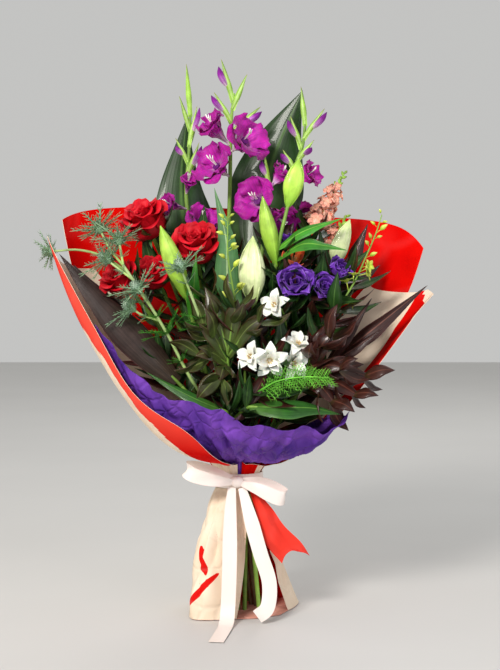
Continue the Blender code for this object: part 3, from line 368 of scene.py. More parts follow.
SKINS = {
    # Gladiolus petals: thin and silky, with a pale streaked throat and a darker ruffled rim
    "gladiolus petal": grown_skin(
        "gladiolus_petal", [(0, "#dfe6b8"), (0.18, "#e4b4e0"), (0.36, "#c01eaa"), (0.75, "#a80a90"), (1, "#8e0078")],
        "#6c0064", 10, 0.5, rim="#88007c", relief=0.35, roughness=0.55, Sheen_Weight=0.1,
        Subsurface_Weight=0.15, Subsurface_Scale=0.004),
    # The same petals still rolled up, so deeper in colour
    "gladiolus furled bud": grown_skin(
        "gladiolus_furled_bud", [(0, "#e8e4d4"), (0.3, "#b87cc0"), (0.6, "#8a1f96"), (1, "#5c0c66")],
        "#5a0a68", 6, 0.5, relief=0.3, roughness=0.45),
    # The spathe that holds a bud: waxy, yellow-green, browned at its tip
    "spathe": grown_skin(
        "waxy_spathe", [(0, "#a6cf5c"), (0.55, "#93bd45"), (0.88, "#7fa03e"), (1, "#8a6a3c")],
        "#6f9636", 8, 0.45, rim="#b9d98a", relief=0.25, roughness=0.4),
    # A cut flower stem: juicy green, smooth and matt, paler to its top
    "stem": grown_skin(
        "flower_stem", [(0, "#6f8f3e"), (0.6, "#7fa544"), (1, "#8cb450")], "#55762c", 5, 0.5,
        relief=0.3, roughness=0.45),
    # Rose petals: velvet. The colour darkens towards the root as painted shade deep in the folds of the bloom, and is a
    # little lighter at the tip as painted light where the rim rolls over
    "rose petal": grown_skin(
        "rose_velvet", [(0, "#5c000a"), (0.45, "#a80014"), (0.85, "#c8041c"), (1, "#d40a22")],
        "#96000f", 12, 0.2, relief=0.08, mottle=0.1, roughness=0.6,
        Subsurface_Weight=0.1, Subsurface_Scale=0.004),
    # Sepals: thin dull leaves with a pale rib
    "rose leaf": grown_skin(
        "rose_leaf", [(0, "#3f6a30"), (1, "#355c2c")], "#24441f", 7, 0.4, rib="#6f9a55", roughness=0.45),
    # Lisianthus petals: thin and matt as crepe, paler at the ruffled rim
    "violet petal": grown_skin(
        "lisianthus_petal", [(0, "#d9d2ee"), (0.15, "#5a2498"), (0.6, "#561a94"), (1, "#6f34b0")],
        "#360e74", 10, 0.55, rim="#9464cc", rim_from=0.86, relief=0.3, roughness=0.55, Sheen_Weight=0.1),
    # Closed lily buds: smooth and waxy, which gives a soft shine. One that will soon open is nearly white
    "lily bud": grown_skin(
        "green_lily_bud", [(0, "#7aae34"), (0.35, "#a6d04a"), (0.75, "#b6dc60"), (1, "#93c040")],
        "#82b038", 7, 0.4, relief=0.25, roughness=0.38, Coat_Weight=0.12),
    "pale lily bud": grown_skin(
        "pale_lily_bud", [(0, "#a9c96c"), (0.3, "#dbe6ae"), (0.7, "#e6ecc2"), (1, "#c3d68c")],
        "#b4cc80", 8, 0.55, relief=0.3, roughness=0.4, Coat_Weight=0.1),
    # Lance leaves: firm and glossy, with long veins. The broad one has a bloom that turns it grey and dull
    "lily leaf": grown_skin(
        "lily_leaf", [(0, "#4f8f2c"), (0.5, "#348022"), (1, "#46902c")], "#1e5814", 12, 0.5, rib="#86b84c",
        relief=0.35, roughness=0.36, Coat_Weight=0.15),
    "grey leaf": grown_skin(
        "grey_green_leaf", [(0, "#5d8a4c"), (0.6, "#4a7c48"), (1, "#5c8c58")], "#33603a", 11, 0.5,
        rib="#b2d094", relief=0.35, roughness=0.4, Coat_Weight=0.1),
    # Sea holly: hard, dry and bloomed with blue
    "thistle cone": grown_skin(
        "thistle_cone", [(0, "#6f9468"), (0.6, "#86a08c"), (1, "#b4c4b0")], "#52725a", 12, 0.6, relief=0.6,
        roughness=0.7),
    "thistle bract": grown_skin(
        "thistle_bract", [(0, "#8cae78"), (0.5, "#76997a"), (1, "#9cb894")], "#587c5c", 5, 0.4,
        rib="#c6d8b4", relief=0.4, roughness=0.6),
    "thistle stem": grown_skin(
        "thistle_stem", [(0, "#94b460"), (1, "#aec488")], "#789a54", 6, 0.45, relief=0.4, roughness=0.55),
    # Snapdragon lips: velvety, peach with a cream rim
    "peach petal": grown_skin(
        "snapdragon_petal", [(0, "#f0e2c6"), (0.35, "#eab89c"), (0.8, "#dd8e7e"), (1, "#ecb8a4")],
        "#cc6a5c", 6, 0.4, rim="#f6d8c4", relief=0.25, roughness=0.6),
    # Alstroemeria petals: smooth with a faint sheen, yellow at the throat
    "orange petal": grown_skin(
        "alstroemeria_petal", [(0, "#f7c860"), (0.3, "#f47a3a"), (0.8, "#f0552c"), (1, "#f3744a")],
        "#a82812", 8, 0.5, relief=0.25, roughness=0.5, Sheen_Weight=0.15),
    # Little orchid buds: waxy and lime green, with paler tips
    "orchid bud": grown_skin(
        "orchid_bud", [(0, "#9db834"), (0.5, "#bcce4a"), (1, "#d6dc70")], "#8ea83a", 5, 0.4, relief=0.2,
        roughness=0.42),
    # White petals: thin enough to glow, and cream at the throat
    "white petal": grown_skin(
        "white_petal", [(0, "#e7dfa0"), (0.2, "#f3f2e6"), (1, "#fbfbf6")], "#dcdccb", 9, 0.4, relief=0.3,
        mottle=0.06, roughness=0.5, Sheen_Weight=0.2, Subsurface_Weight=0.1, Subsurface_Scale=0.004),
    # Cordyline: leathery and almost black, with a satin face that shows its long veins
    "cordyline leaf": grown_skin(
        "cordyline_leaf", [(0, "#44382c"), (0.3, "#382b27"), (1, "#2e2322")], "#191110", 16, 0.6,
        rim="#4a2626", rim_from=0.92, relief=0.5, roughness=0.36, Coat_Weight=0.08),
    "red cordyline leaf": grown_skin(
        "red_cordyline_leaf", [(0, "#4a2a20"), (0.3, "#371b18"), (1, "#2c1413")], "#180b0a", 14, 0.6,
        rib="#7c5044", rim="#54241f", rim_from=0.9, relief=0.5, roughness=0.36, Coat_Weight=0.08),
    # Aspidistra: leathery and ribbed from end to end, with a soft shine
    "aspidistra leaf": grown_skin(
        "aspidistra_leaf", [(0, "#4e7a2c"), (0.4, "#2f6024"), (1, "#2c5a22")], "#1a4216", 15, 0.6,
        rib="#6c9c44", rim="#5f8c3c", rim_from=0.93, relief=0.5, roughness=0.35, Coat_Weight=0.12),
    # A shrub's glossy leaves: nearly black red, and the olive ones still partly green
    "burgundy leaf": grown_skin(
        "burgundy_leaf", [(0, "#464222"), (0.35, "#3c2019"), (1, "#361613")], "#1c0b09", 8, 0.5,
        rib="#6a3e32", rim="#4c1f1d", relief=0.3, roughness=0.32, Coat_Weight=0.2),
    "olive leaf": grown_skin(
        "olive_burgundy_leaf", [(0, "#566a30"), (0.5, "#38401e"), (1, "#3e2a1a")], "#1e200e", 8, 0.5,
        rib="#6c7a40", rim="#4a2a20", relief=0.3, roughness=0.34, Coat_Weight=0.15),
    # Plain dark foliage that fills the bunch: leathery, with a pale rib
    "dark leaf": grown_skin(
        "dark_foliage", [(0, "#3c5a26"), (0.5, "#26461c"), (1, "#203c18")], "#122a10", 8, 0.5,
        rib="#557a3a", relief=0.4, roughness=0.36, Coat_Weight=0.12),
    # Asparagus fern: fine, soft and bright
    "fern needle": grown_skin(
        "fern_needle", [(0, "#5cae34"), (1, "#84cc4c")], "#489028", 3, 0.3, relief=0.1, roughness=0.5),
    # Pollen: dry powder, so it has no shine
    "anther": grown_skin(
        "pollen", [(0, "#e6d9b8"), (1, "#d8b872")], "#b8925a", 4, 0.4, relief=0.5, roughness=0.8),
}
print("skins", len(SKINS))

# %% [markdown]
# The camera stands where the picture was taken from: a little over two metres off, level with the
# flowers, tilted down by four degrees. A strong soft box lights it from the left, and two weaker ones from
# the right and from behind. The floor is pale.

# %% Camera, light and floor
scene = bpy.context.scene
camera = bpy.data.objects.new("camera", bpy.data.cameras.new("camera"))
scene.collection.objects.link(camera)
camera.location = (0.010, -2.1, 0.530)
camera.rotation_euler = (math.radians(90 - 3.94), 0, 0)
camera.data.lens = 81.13
scene.camera = camera
scene.view_settings.view_transform = "Standard"


def soft_light(name, place, power, size, colour="#ffffff"):
    """A square soft box that looks at the middle of the flowers."""
    light = bpy.data.objects.new(name, bpy.data.lights.new(name, "AREA"))
    scene.collection.objects.link(light)
    light.data.energy, light.data.size, light.data.color = power, size, to_linear(colour)[:3]
    light.location = place
    light.rotation_euler = (Vector((0, 0, 0.4)) - light.location).to_track_quat("-Z", "Y").to_euler()


soft_light("key", Vector((-1.2, -2.5, 2.0)), 98, 0.8, "#fffaf4")
soft_light("fill", Vector((1.9, -2.2, 0.9)), 15, 1.8, "#f2f6ff")
soft_light("back", Vector((0.6, 1.9, 2.1)), 16, 1.4)
world = bpy.data.worlds.new("studio")
scene.world = world
world.use_nodes = True
world.node_tree.nodes["Background"].inputs["Color"].default_value = to_linear("#e8e8e6")
world.node_tree.nodes["Background"].inputs["Strength"].default_value = 0.68

floor_mesh = bpy.data.meshes.new("floor")
floor_mesh.from_pydata([(-4, -3, -0.001), (4, -3, -0.001), (4, 4, -0.001), (-4, 4, -0.001)], [], [(0, 1, 2, 3)])
floor = bpy.data.objects.new("floor", floor_mesh)
scene.collection.objects.link(floor)
material, tree, shader = blank("studio_floor", Roughness=0.6)
where = add(tree, "ShaderNodeTexCoord").outputs["Object"]
patches = add(tree, "ShaderNodeTexNoise", {"Vector": where, "Scale": 3, "Detail": 2})
tone = add(tree, "ShaderNodeMix", {0: patches, 6: to_linear("#c6c5c3"), 7: to_linear("#cdccca")}, data_type="RGBA")
feed(tree, shader, {"Base Color": tone.outputs[2]})
floor_mesh.materials.append(material)
floor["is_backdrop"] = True
print("camera and light set")

# %% [markdown]
# The wrapping is one smooth surface that spreads from the neck, and each paper is a patch of a layer of
# it. Real paper pleats where the ribbon gathers it and dents where it was held, so the surface gets both.
# The pleats are shared by all layers, because papers that lie on each other pleat together.

# %% The surface of the wrapping
NECK_X, NECK_HEIGHT, NECK_FLATTENED = -6, 184, 5.5
WRAP_RADIUS, PAPER_STEP = 28, 2.0
PAPER = 0.5
FAR_EDGE = [
    (0, at(272, 0, 470)), (28, at(230, 82, 548)), (60, at(90, 118, 566)), (90, at(0, 122, 572)),
    (120, at(-90, 118, 576)), (152, at(-205, 86, 572)), (172, at(-252, 42, 556)), (190, at(-262, -42, 525)),
    (211, at(-190, -104, 412)), (227, at(-138, -134, 345)), (250, at(-62, -158, 322)), (272, at(10, -166, 304)),
    (296, at(82, -156, 286)), (318, at(142, -124, 292)), (339, at(190, -76, 352)), (351, at(248, -42, 432)),
]


def neck_point(azimuth, radius, height):
    """A point of the oval ring round the neck, all in millimetres but the azimuth in degrees."""
    turn = math.radians(azimuth)
    return at(NECK_X + radius * math.cos(turn), (radius - NECK_FLATTENED) * math.sin(turn), height)


def ring_point(ring, azimuth):
    """The point at an azimuth of a smooth closed outline, given as (azimuth, place) pairs from 0 on."""
    azimuth %= 360
    turns = [turn for turn, _ in ring] + [ring[0][0] + 360]
    i = max(k for k in range(len(ring)) if turns[k] <= azimuth)
    t = (azimuth - turns[i]) / (turns[i + 1] - turns[i])
    a, b, c, d = (ring[(i + step) % len(ring)][1] for step in (-1, 0, 1, 2))
    return 0.5 * (b * 2 + (c - a) * t + (a * 2 - b * 5 + c * 4 - d) * t**2 + (b * 3 - a - c * 3 + d) * t**3)


def outward(azimuth):
    """The level direction at an azimuth."""
    return Vector((math.cos(math.radians(azimuth)), math.sin(math.radians(azimuth)), 0))


def belly_point(azimuth, reach):
    """A point of the innermost layer, which swells out between the neck and the far edge."""
    near = neck_point(azimuth, WRAP_RADIUS + 9, NECK_HEIGHT + 28)
    far = ring_point(FAR_EDGE, azimuth)
    out = outward(azimuth)
    rise = (far - near).normalized()
    square = (out - rise * out.dot(rise)).normalized()
    side = 5 + 10 * (1 - out.x) / 2
    belly = side + (22 - side) * max(0.0, -out.y)
    shoulder = 17 * max(0.0, -out.x) ** 2 * math.sin(math.pi * min(reach, 1.0) ** 1.3)
    return near.lerp(far, reach) + square * (belly * math.sin(math.pi * reach) + shoulder) * MM


def shared_creases(azimuth, reach):
    """How far the pleated wrapping stands off its smooth surface, in millimetres."""
    turn = math.radians(azimuth)
    pleat = (math.sin(turn * 23) + 0.6 * math.sin(turn * 37 + 1)) * 1.3 * math.exp(-4.5 * reach)
    dent = noise.noise(Vector((math.cos(turn) * 2.1, math.sin(turn) * 2.1, reach * 2.3)))
    return pleat + dent * 5 * min(1.0, reach * 2)


def wrap_point(azimuth, reach, layer):
    """A point of the wrapping: reach 0 is where it flares from the neck and 1 the far edge."""
    point = belly_point(azimuth, reach)
    run = belly_point(azimuth, reach + 0.02) - point
    out = outward(azimuth)
    normal = (out * run.z - UP * run.dot(out)).normalized()
    if reach == 0:
        normal = (out + normal) / (1 + out.dot(normal))
    loose = layer * (PAPER_STEP + 5 * math.sin(math.pi * min(reach, 1.0)))
    return point + normal * (loose + shared_creases(azimuth, reach)) * MM, normal


def wrap_grid(front_edge, back_edge, layers, columns, rows, dip=0.0, own=None):
    """Points of a patch between two edges, each a list of (azimuth, reach) from the neck out.

    layers holds its layer at the front edge and at the back edge, to which its second half passes over.
    """
    c = np.linspace(0, 1, columns + 1)
    ends = front_edge[0][0], back_edge[0][0]
    turns = ends[0] + (ends[1] - ends[0]) * c
    layer = layers[0] + (layers[1] - layers[0]) * np.maximum(0, 2 * c - 1)
    radii = WRAP_RADIUS + layer * PAPER_STEP
    grid, places = [], []
    for z in (-8, -2, 5, 11):
        pleats = [math.sin(math.radians(turn) * 23) * 0.5 * (z + 8) / 19 for turn in turns]
        grid.append([neck_point(turn, radius + pleat, NECK_HEIGHT + z)
                     for turn, radius, pleat in zip(turns, radii, pleats)])
        places.append([(turn, -0.02) for turn in turns])
    for r in range(rows + 1):
        out = (r / rows) ** 1.3
        a, b = (through([(p[0], p[1]) for p in edge], [out])[0] for edge in (front_edge, back_edge))
        line = a + (b - a) * c[:, None]
        line[:, 1] = np.maximum(line[:, 1] - dip * np.sin(np.pi * c**0.6) * out**4, 0)
        row = []
        for i, (azimuth, reach) in enumerate(line):
            point, normal = wrap_point(azimuth, reach, layer[i])
            row.append(point + (own(azimuth, reach, c[i], out, normal) if own else Vector()))
        grid.append(row)
        places.append([tuple(p) for p in line])
    return np.array([[tuple(p) for p in row] for row in grid]), np.array(places)


print("neck", tuple(round(x / MM) for x in neck_point(270, WRAP_RADIUS, NECK_HEIGHT)))

# %% [markdown]
# Florist's paper is coated on one face with vivid red, and its other face is plain cream. It is smooth and
# matt, with sharp little creases where it was folded, which come from the edges of a cell pattern, and a
# short fibre that shows only as a faint grain. Tissue is thinner and duller, with small sharp crumples.

# %% Paper and tissue finishes
def crumpled(name, colour, deep, crease_size, crease, grain, roughness, pale=None, blend=0.5, worn=0.03, **sockets):
    """A sheet with creases about crease_size millimetres apart. crease is how deep they look.

    pale is a second colour that the third value of the blade brings in, over a blend either side of 0.5. On the red
    paper it is a painted highlight, a paler red where the paper catches the light; on the folded cream paper it is the
    red face that shows in the slits.
    """
    material, tree, shader = blank(name, **sockets)
    where = add(tree, "ShaderNodeTexCoord").outputs["Object"]
    wander = add(tree, "ShaderNodeTexNoise", {"Vector": where, "Scale": 0.5 / crease_size / MM, "Detail": 2})
    shift = add(tree, "ShaderNodeVectorMath", {0: wander.outputs[1], "Scale": crease_size * MM * 1.2},
                operation="SCALE")
    moved = add(tree, "ShaderNodeVectorMath", {0: where, 1: shift})
    cells = add(tree, "ShaderNodeTexVoronoi", {"Vector": moved, "Scale": 1 / crease_size / MM},
                feature="DISTANCE_TO_EDGE")
    fold = add(tree, "ShaderNodeMapRange", {0: cells, 1: 0, 2: 0.12}, interpolation_type="SMOOTHSTEP")
    # Tones drift over some 60 mm. The fibre is drawn a millimetre long, coarser than real, so that it shows
    fibre, slow = (add(tree, "ShaderNodeTexNoise", {"Vector": where, "Scale": scale, "Detail": detail})
                   for scale, detail in ((900, 2), (16, 3)))
    tone = add(tree, "ShaderNodeMapRange", {0: slow, 1: 0.35, 2: 0.7})
    body = add(tree, "ShaderNodeMix", {0: tone, 6: to_linear(deep), 7: to_linear(colour)},
               data_type="RGBA").outputs[2]
    # The pale colour: a painted highlight on the red paper, and the red face in the slits of the folded cream paper
    if pale:
        highlight_and_slit_share = add(tree, "ShaderNodeMapRange", {0: blade_values(tree)[2], 1: 0.5 - blend, 2: 0.5 + blend})
        body = add(tree, "ShaderNodeMix", {0: highlight_and_slit_share, 6: body, 7: to_linear(pale)}, data_type="RGBA").outputs[2]
    rubbed = add(tree, "ShaderNodeMapRange", {0: fold, 3: worn, 4: 0})
    skin = add(tree, "ShaderNodeMix", {0: rubbed, 6: body, 7: to_linear("#ffffff")}, data_type="RGBA")
    rise = add(tree, "ShaderNodeMath", {0: fold, 1: crease}, operation="MULTIPLY")
    grained = add(tree, "ShaderNodeMath", {0: fibre, 1: grain, 2: rise}, operation="MULTIPLY_ADD")
    dull = add(tree, "ShaderNodeMapRange", {0: fibre, 3: roughness - 0.08, 4: roughness + 0.08})
    bump = add(tree, "ShaderNodeBump", {"Height": grained, "Strength": 0.6, "Distance": MM})
    feed(tree, shader, {"Base Color": skin.outputs[2], "Roughness": dull, "Normal": bump})
    return material


SKINS.update({
    # The red paper's pale colour is a painted highlight: a paler red where the paper catches the light
    "red paper": crumpled("coated_red_paper", "#e80e06", "#cf0604", 90, 0.6, 0.12, 0.8, pale="#f05242", worn=0.01,
                          IOR=1.12),
    "cream paper": crumpled("uncoated_cream_paper", "#f3e2cd", "#ebd5bc", 70, 0.8, 0.2, 0.75,
                            Specular_IOR_Level=0.1),
    "slit paper": crumpled("folded_cream_paper", "#efdec8", "#e4ceb4", 45, 1.6, 0.2, 0.75, pale="#cf100a",
                           blend=0.03, Specular_IOR_Level=0.1),
    "tissue": crumpled("dyed_tissue_paper", "#7a46b4", "#4c2a88", 26, 2.2, 0.1, 0.6, worn=0.0,
                       Specular_IOR_Level=0.15),
})

# %% [markdown]
# Five sheets go round the flowers: two at the back with the red face in, two wings that wrap the sides
# with the red face out, and the purple tissue inside them. The left wing is folded over, so that
# its cream face shows in a strip below the red.

# %% Papers
def paper_growth(grid, near, far, places, highlight_and_slit_share=0.0):
    growth = Growth()
    down, over = places[..., 1], np.broadcast_to(np.linspace(-1, 1, grid.shape[1]), grid.shape[:2])
    plate(growth, grid, PAPER, near, far, (down, over, highlight_and_slit_share))
    return growth


PAPERS = {
    "paper_back_left": (
        [(176, 0), (176, 0.3), (175, 0.6), (173, 0.86), (172, 0.98)],
        [(78, 0), (78, 0.3), (79, 0.6), (80, 0.86), (81, 0.97)], (2.25, 0.9), 0.0),
    "paper_back_right": (
        [(99, 0), (99, 0.3), (98, 0.6), (98, 0.86), (97, 0.96)],
        [(2, 0), (4, 0.3), (7, 0.6), (11, 0.8), (17, 0.97)], (2, 2), 0.0),
    "paper_wing_left": (
        [(268, 0), (261, 0.2), (252, 0.45), (241, 0.7), (223, 0.86), (204, 0.94), (190, 1.0)],
        [(140, 0), (142, 0.16), (144, 0.32), (146, 0.48), (150, 0.6), (155, 0.7), (160, 0.78)], (1.7, 1.2), 0.08),
    "paper_wing_right": (
        [(44, 0), (42, 0.16), (40, 0.32), (37, 0.46), (34, 0.57), (31, 0.66), (28, 0.74)],
        [(-82, 0), (-54, 0.2), (-35, 0.36), (-24, 0.54), (-17, 0.72), (-11, 0.87), (-5, 0.98)], (1, 1), 0.05),
}
for name, (front_edge, back_edge, layers, dip) in PAPERS.items():
    columns, rows = (120, 84) if name == "paper_wing_left" else (72, 44)
    grid, places = wrap_grid(front_edge, back_edge, layers, columns, rows, dip)
    middles = (places[:-1, :-1] + places[1:, 1:]) / 2
    azimuths, reaches = middles[..., 0], middles[..., 1]
    outside, inside, highlight_and_slit_share = 1, 0, 0.0
    if name == "paper_wing_left":
        turned_at = np.interp(azimuths, [176, 184, 198, 208, 220, 227, 232, 238],
                              [0.64, 0.66, 0.74, 0.78, 0.75, 0.66, 0.5, 0.05])
        outside, inside = np.where(reaches > turned_at + 0.008 * np.sin(azimuths * 0.7), 0, 1), 1
        # The red is painted paler towards the top of the left wing: a painted highlight where it faces the light
        highlight_and_slit_share = np.clip((places[..., 1] - 0.42) * 2.2, 0, 1) * np.clip((places[..., 0] - 186) / 10, 0, 1)
    if name == "paper_wing_right":
        turned = np.linspace(0, 1, azimuths.shape[1])[None, :] > 0.7 + 0 * azimuths
        outside = np.where(turned | (reaches > 0.3), 0, 1)
        inside = np.where(turned & (reaches < 0.9), 0, 1)
    make_piece(name, paper_growth(grid, outside, inside, places, highlight_and_slit_share), ["red paper", "cream paper"], "paper_red")


def tissue_own(azimuth, reach, column, out, normal):
    """Waves of the tissue's rim, the folds that spread from the neck and the facets of its crumples."""
    c = column * 13
    wave = math.cos(c * math.pi) * 4 + math.cos(c * 1.3) * 5
    wave *= min(1.0, c / 7) * out**3
    place = Vector((azimuth * 0.085, reach * 3.2, 0))
    near, _ = noise.voronoi(place)
    facet = (near[1] - near[0]) * 8 * min(1.0, out * 2 + 0.1)
    bend = azimuth * 0.16 + noise.noise(place) * 1.6
    fold = abs(bend % 2 - 1) * 11 * min(1.0, out * 3) * (1.1 - 0.7 * out)
    fine = noise.noise(place * 3.1) * 2.4 * min(1.0, out * 2)
    wave += 18 * math.exp(-(((column - 0.14) / 0.11) ** 2)) * out**3
    return UP * wave * MM - normal * (facet + fold + fine - 4.5 * min(1.0, out * 3)) * MM


grid, places = wrap_grid(
    [(190, 0), (196, 0.3), (202, 0.55), (205, 0.78), (206, 0.88)],
    [(352, 0), (346, 0.3), (338, 0.52), (331, 0.72), (326, 0.88)], (0, 0), 190, 64, own=tissue_own)
make_piece("tissue", paper_growth(grid, 0, 0, places), ["tissue"], "tissue")

# %% [markdown]
# Below the ribbon the same paper makes a skirt round the cut ends, folded under them so that the sheaf
# can stand. It hangs in pleats. In a few of them the fold turns over and shows a slit of the red face.

# %% The foot and its flap
FOOT_OUTLINE = [
    (0, at(74, 6, 0)), (35, at(72, 50, 0)), (90, at(2, 58, 0)), (145, at(-62, 48, 0)),
    (180, at(-70, 0, 0)), (225, at(-68, -66, 0)), (270, at(-2, -64, 0)), (310, at(40, -50, 0)),
]
RED_SLITS = (
    # azimuth at its top and bottom, reach at them, widest half in degrees
    (218, 235, 0.44, 0.66, 5.5), (247, 214, 0.64, 0.93, 5.0), (254, 257, 0.72, 0.98, 1.6),
    (102, 96, 0.3, 0.7, 4.0), (24, 28, 0.2, 0.6, 4.0),
)


def foot_point(azimuth, reach):
    """A point of the paper skirt: reach 0 is under the ribbon and 1 the floor."""
    top = neck_point(azimuth, WRAP_RADIUS + PAPER_STEP, NECK_HEIGHT - 9)
    out = outward(azimuth)
    turn = math.radians(azimuth)
    pleat = math.cos(turn * 9) * 5 * reach * (1 - reach)
    fine = (abs(math.sin(turn * 9.5 + 2.2 * reach)) - 0.5) * 2.4 * (1 - reach) ** 0.5 * min(1, reach * 6)
    near, _ = noise.voronoi(Vector((azimuth * 0.05, reach * 2.3, 7)))
    facet = ((near[1] - near[0]) * 16 - 6) * math.sin(math.pi * min(reach, 1)) ** 0.7
    hem = ring_point(FOOT_OUTLINE, azimuth)
    point = top.lerp(hem, 1 - (1 - reach) ** (1 + 1.4 * max(0.0, -out.x)))
    point.z = top.z + (hem.z - top.z) * reach
    return point + out * (pleat + fine + facet) * MM


reaches, shares = np.linspace(0, 1, 61), np.linspace(0, 1, 209)
turns = -20 + (313 - 28 * reaches[:, None]) * shares
grid = np.array([[tuple(foot_point(turn, reach) + UP * 0.4 * reach * MM) for turn in row]
                 for row, reach in zip(turns, reaches)])
red = np.zeros(turns.shape)
for top_turn, low_turn, top, low, half in RED_SLITS:
    share = (reaches[:, None] - top) / (low - top)
    lean = top_turn + (low_turn - top_turn) * share
    open_half = half * np.sqrt(np.clip(np.sin(np.pi * np.clip(share, 0, 1)), 0, 1))
    red = np.maximum(red, np.clip(0.5 + (open_half - np.abs(turns - lean)) / 6, 0, 1) * (open_half > 0))
foot = Growth()
plate(foot, grid, PAPER, 0, 1, (reaches[:, None] + 0 * turns, 2 * shares - 1 + 0 * turns, red))
hem = np.array([tuple(foot_point(turn, 1)) for turn in np.linspace(-20, 293, 79)] + [tuple(at(52, -42, 0))])
middle = hem.mean(0)
rings = np.array([(np.vstack([hem, hem[:1]]) - middle) * share + middle for share in (1, 0.7, 0.3, 0.02)])
plate(foot, rings + [0, 0, 0.45 * MM], 0.8)
make_piece("paper_foot", foot, ["slit paper", "red paper"], "paper_cream")

flap_rows = [
    (neck_point(301, WRAP_RADIUS + 4.4, 178), neck_point(330, WRAP_RADIUS + 4.4, 178)),
    (neck_point(300, WRAP_RADIUS + 2.5, 172.5), neck_point(332, WRAP_RADIUS + 2.5, 172.5)),
    (at(13, -30, 160), at(29, -27, 160)), (at(18, -40, 146), at(42, -37, 146)),
    (at(24, -47, 122), at(58, -44, 124)), (at(34, -50, 98), at(78, -44, 104)), (at(54, -52, 74), at(92, -40, 82)),
]
down = np.linspace(0, 1, 31)
left_side, right_side = (through([row[k] for row in flap_rows], down) for k in (0, 1))
over = np.linspace(0, 1, 15)
grid = left_side[:, None] * (1 - over)[None, :, None] + right_side[:, None] * over[None, :, None]
for r, t in enumerate(down):
    for c, s in enumerate(over):
        crease = noise.noise(Vector((s * 3.1, t * 6, 4))) * 5 + abs((s * 2.4 + t * 1.7) % 2 - 1) * 8 - 4
        grid[r, c, 1] -= (8.4 * t * math.sin(math.pi * s) + crease * min(1, t * 4)) * MM
        grid[r, c, 2] += (crease * 0.5 * t + 16 * t**8 * math.sin(math.pi * s**0.7)) * MM
flap = Growth()
# The plate's third value is 0.5, so the red is mixed half way to the paler red of the painted highlight
plate(flap, grid, PAPER)
make_piece("paper_flap", flap, ["red paper"], "paper_red")

# %% [markdown]
# The ribbon is satin, 20 mm wide. Its warp floats on the face, so it shines along its length and shows
# hardly any weave. It is cut from one width: a band round the neck, a bow pulled through a knot, and two
# tails. Each is a strip of cloth, and the size it was cut to is printed.

# %% Satin
satin, tree, shader = blank("satin_ribbon", Sheen_Weight=0.3, Sheen_Roughness=0.3, Anisotropic=0.6)
along, across, own = blade_values(tree)
# Threads lie a sixth of a millimetre apart, and their shine changes every few millimetres along the ribbon
threads, length = (add(tree, "ShaderNodeMath", {0: value, 1: times}, operation="MULTIPLY")
                   for value, times in ((across, 60), (along, 30)))
at_threads = add(tree, "ShaderNodeCombineXYZ", {0: threads, 1: length, 2: own})
floats = add(tree, "ShaderNodeTexNoise", {"Vector": at_threads, "Scale": 1, "Detail": 1})
aside = add(tree, "ShaderNodeMath", {0: across}, operation="ABSOLUTE")
selvedge = add(tree, "ShaderNodeMapRange", {0: aside, 1: 0.9, 2: 0.96, 3: 0, 4: 0.35})
warp = add(tree, "ShaderNodeMix", {0: floats, 6: to_linear("#e9dcd4"), 7: to_linear("#f1e7e0")}, data_type="RGBA")
bound = add(tree, "ShaderNodeMix", {0: selvedge, 6: warp.outputs[2], 7: to_linear("#dcc9bf")}, data_type="RGBA")
shine = add(tree, "ShaderNodeMapRange", {0: floats, 3: 0.24, 4: 0.4})
bump = add(tree, "ShaderNodeBump", {"Height": floats, "Strength": 0.15, "Distance": 0.4 * MM})
feed(tree, shader, {"Base Color": bound.outputs[2], "Roughness": shine, "Normal": bump})
SKINS["satin"] = satin

# %% Ribbon
RIBBON, RIBBON_WIDTH = 0.35, 20
KNOT = at(-8, -36.3, 185)
BAND_RADIUS = WRAP_RADIUS + 2 * PAPER_STEP + 0.4 + 1.0


def strip(path, sides, widths, rows, curl=0.0, ripple=0.0):
    """A ribbon along a path, as a growth, and its length. sides are the directions of its width."""
    t = np.linspace(0, 1, rows + 1)
    line = through(path, t)
    run = np.gradient(line, axis=0)
    side = through(sides, t)
    side = unit_rows(side - run * (np.sum(side * run, 1) / np.sum(run * run, 1))[:, None])
    face = np.cross(side, unit_rows(run))
    half = np.interp(t, np.linspace(0, 1, len(widths)), widths) / 2 * MM
    x = np.linspace(-1, 1, 9)
    lift = curl * x[None, :] ** 2 + ripple * np.sin(t[:, None] * 21 + x[None, :] * 2.5) * (1 - t[:, None] * 0.3)
    grid = line[:, None] + side[:, None] * (half[:, None] * x)[..., None] + face[:, None] * (lift * MM)[..., None]
    growth = Growth()
    plate(growth, grid, RIBBON)
    return growth, float(np.linalg.norm(np.diff(line, axis=0), axis=1).sum())


def cloth(name, growth, length, held, rests_on, *nodes, width=RIBBON_WIDTH * MM, area=None):
    piece = make_piece(name, growth, ["satin"], "satin", *nodes)
    print(f"  cut {width / MM:.0f} x {length / MM:.0f} mm")
    return piece


turns = np.radians(np.linspace(0, 360, 97)[:-1])
heights = np.linspace(-10, 10, 13)
band_rows = []
for z in heights:
    row = []
    for turn in turns:
        fold = math.sin(z * 0.55 + math.sin(turn * 3) * 1.6) * 0.32 + math.sin(turn * 11 + z * 0.2) * 0.2
        radius = BAND_RADIUS + RIBBON / 2 + 0.35 + fold
        row.append(tuple(neck_point(math.degrees(turn), radius, NECK_HEIGHT + z)))
    band_rows.append(row + row[:1])
band = Growth()
band_grid = np.array(band_rows).transpose(1, 0, 2)
plate(band, band_grid, RIBBON)
band_length = float(np.linalg.norm(np.diff(band_grid[:, 6], axis=0), axis=1).sum())
cloth("ribbon_band", band, band_length, "gathered", ["paper_wing_left"], "ribbon_band")

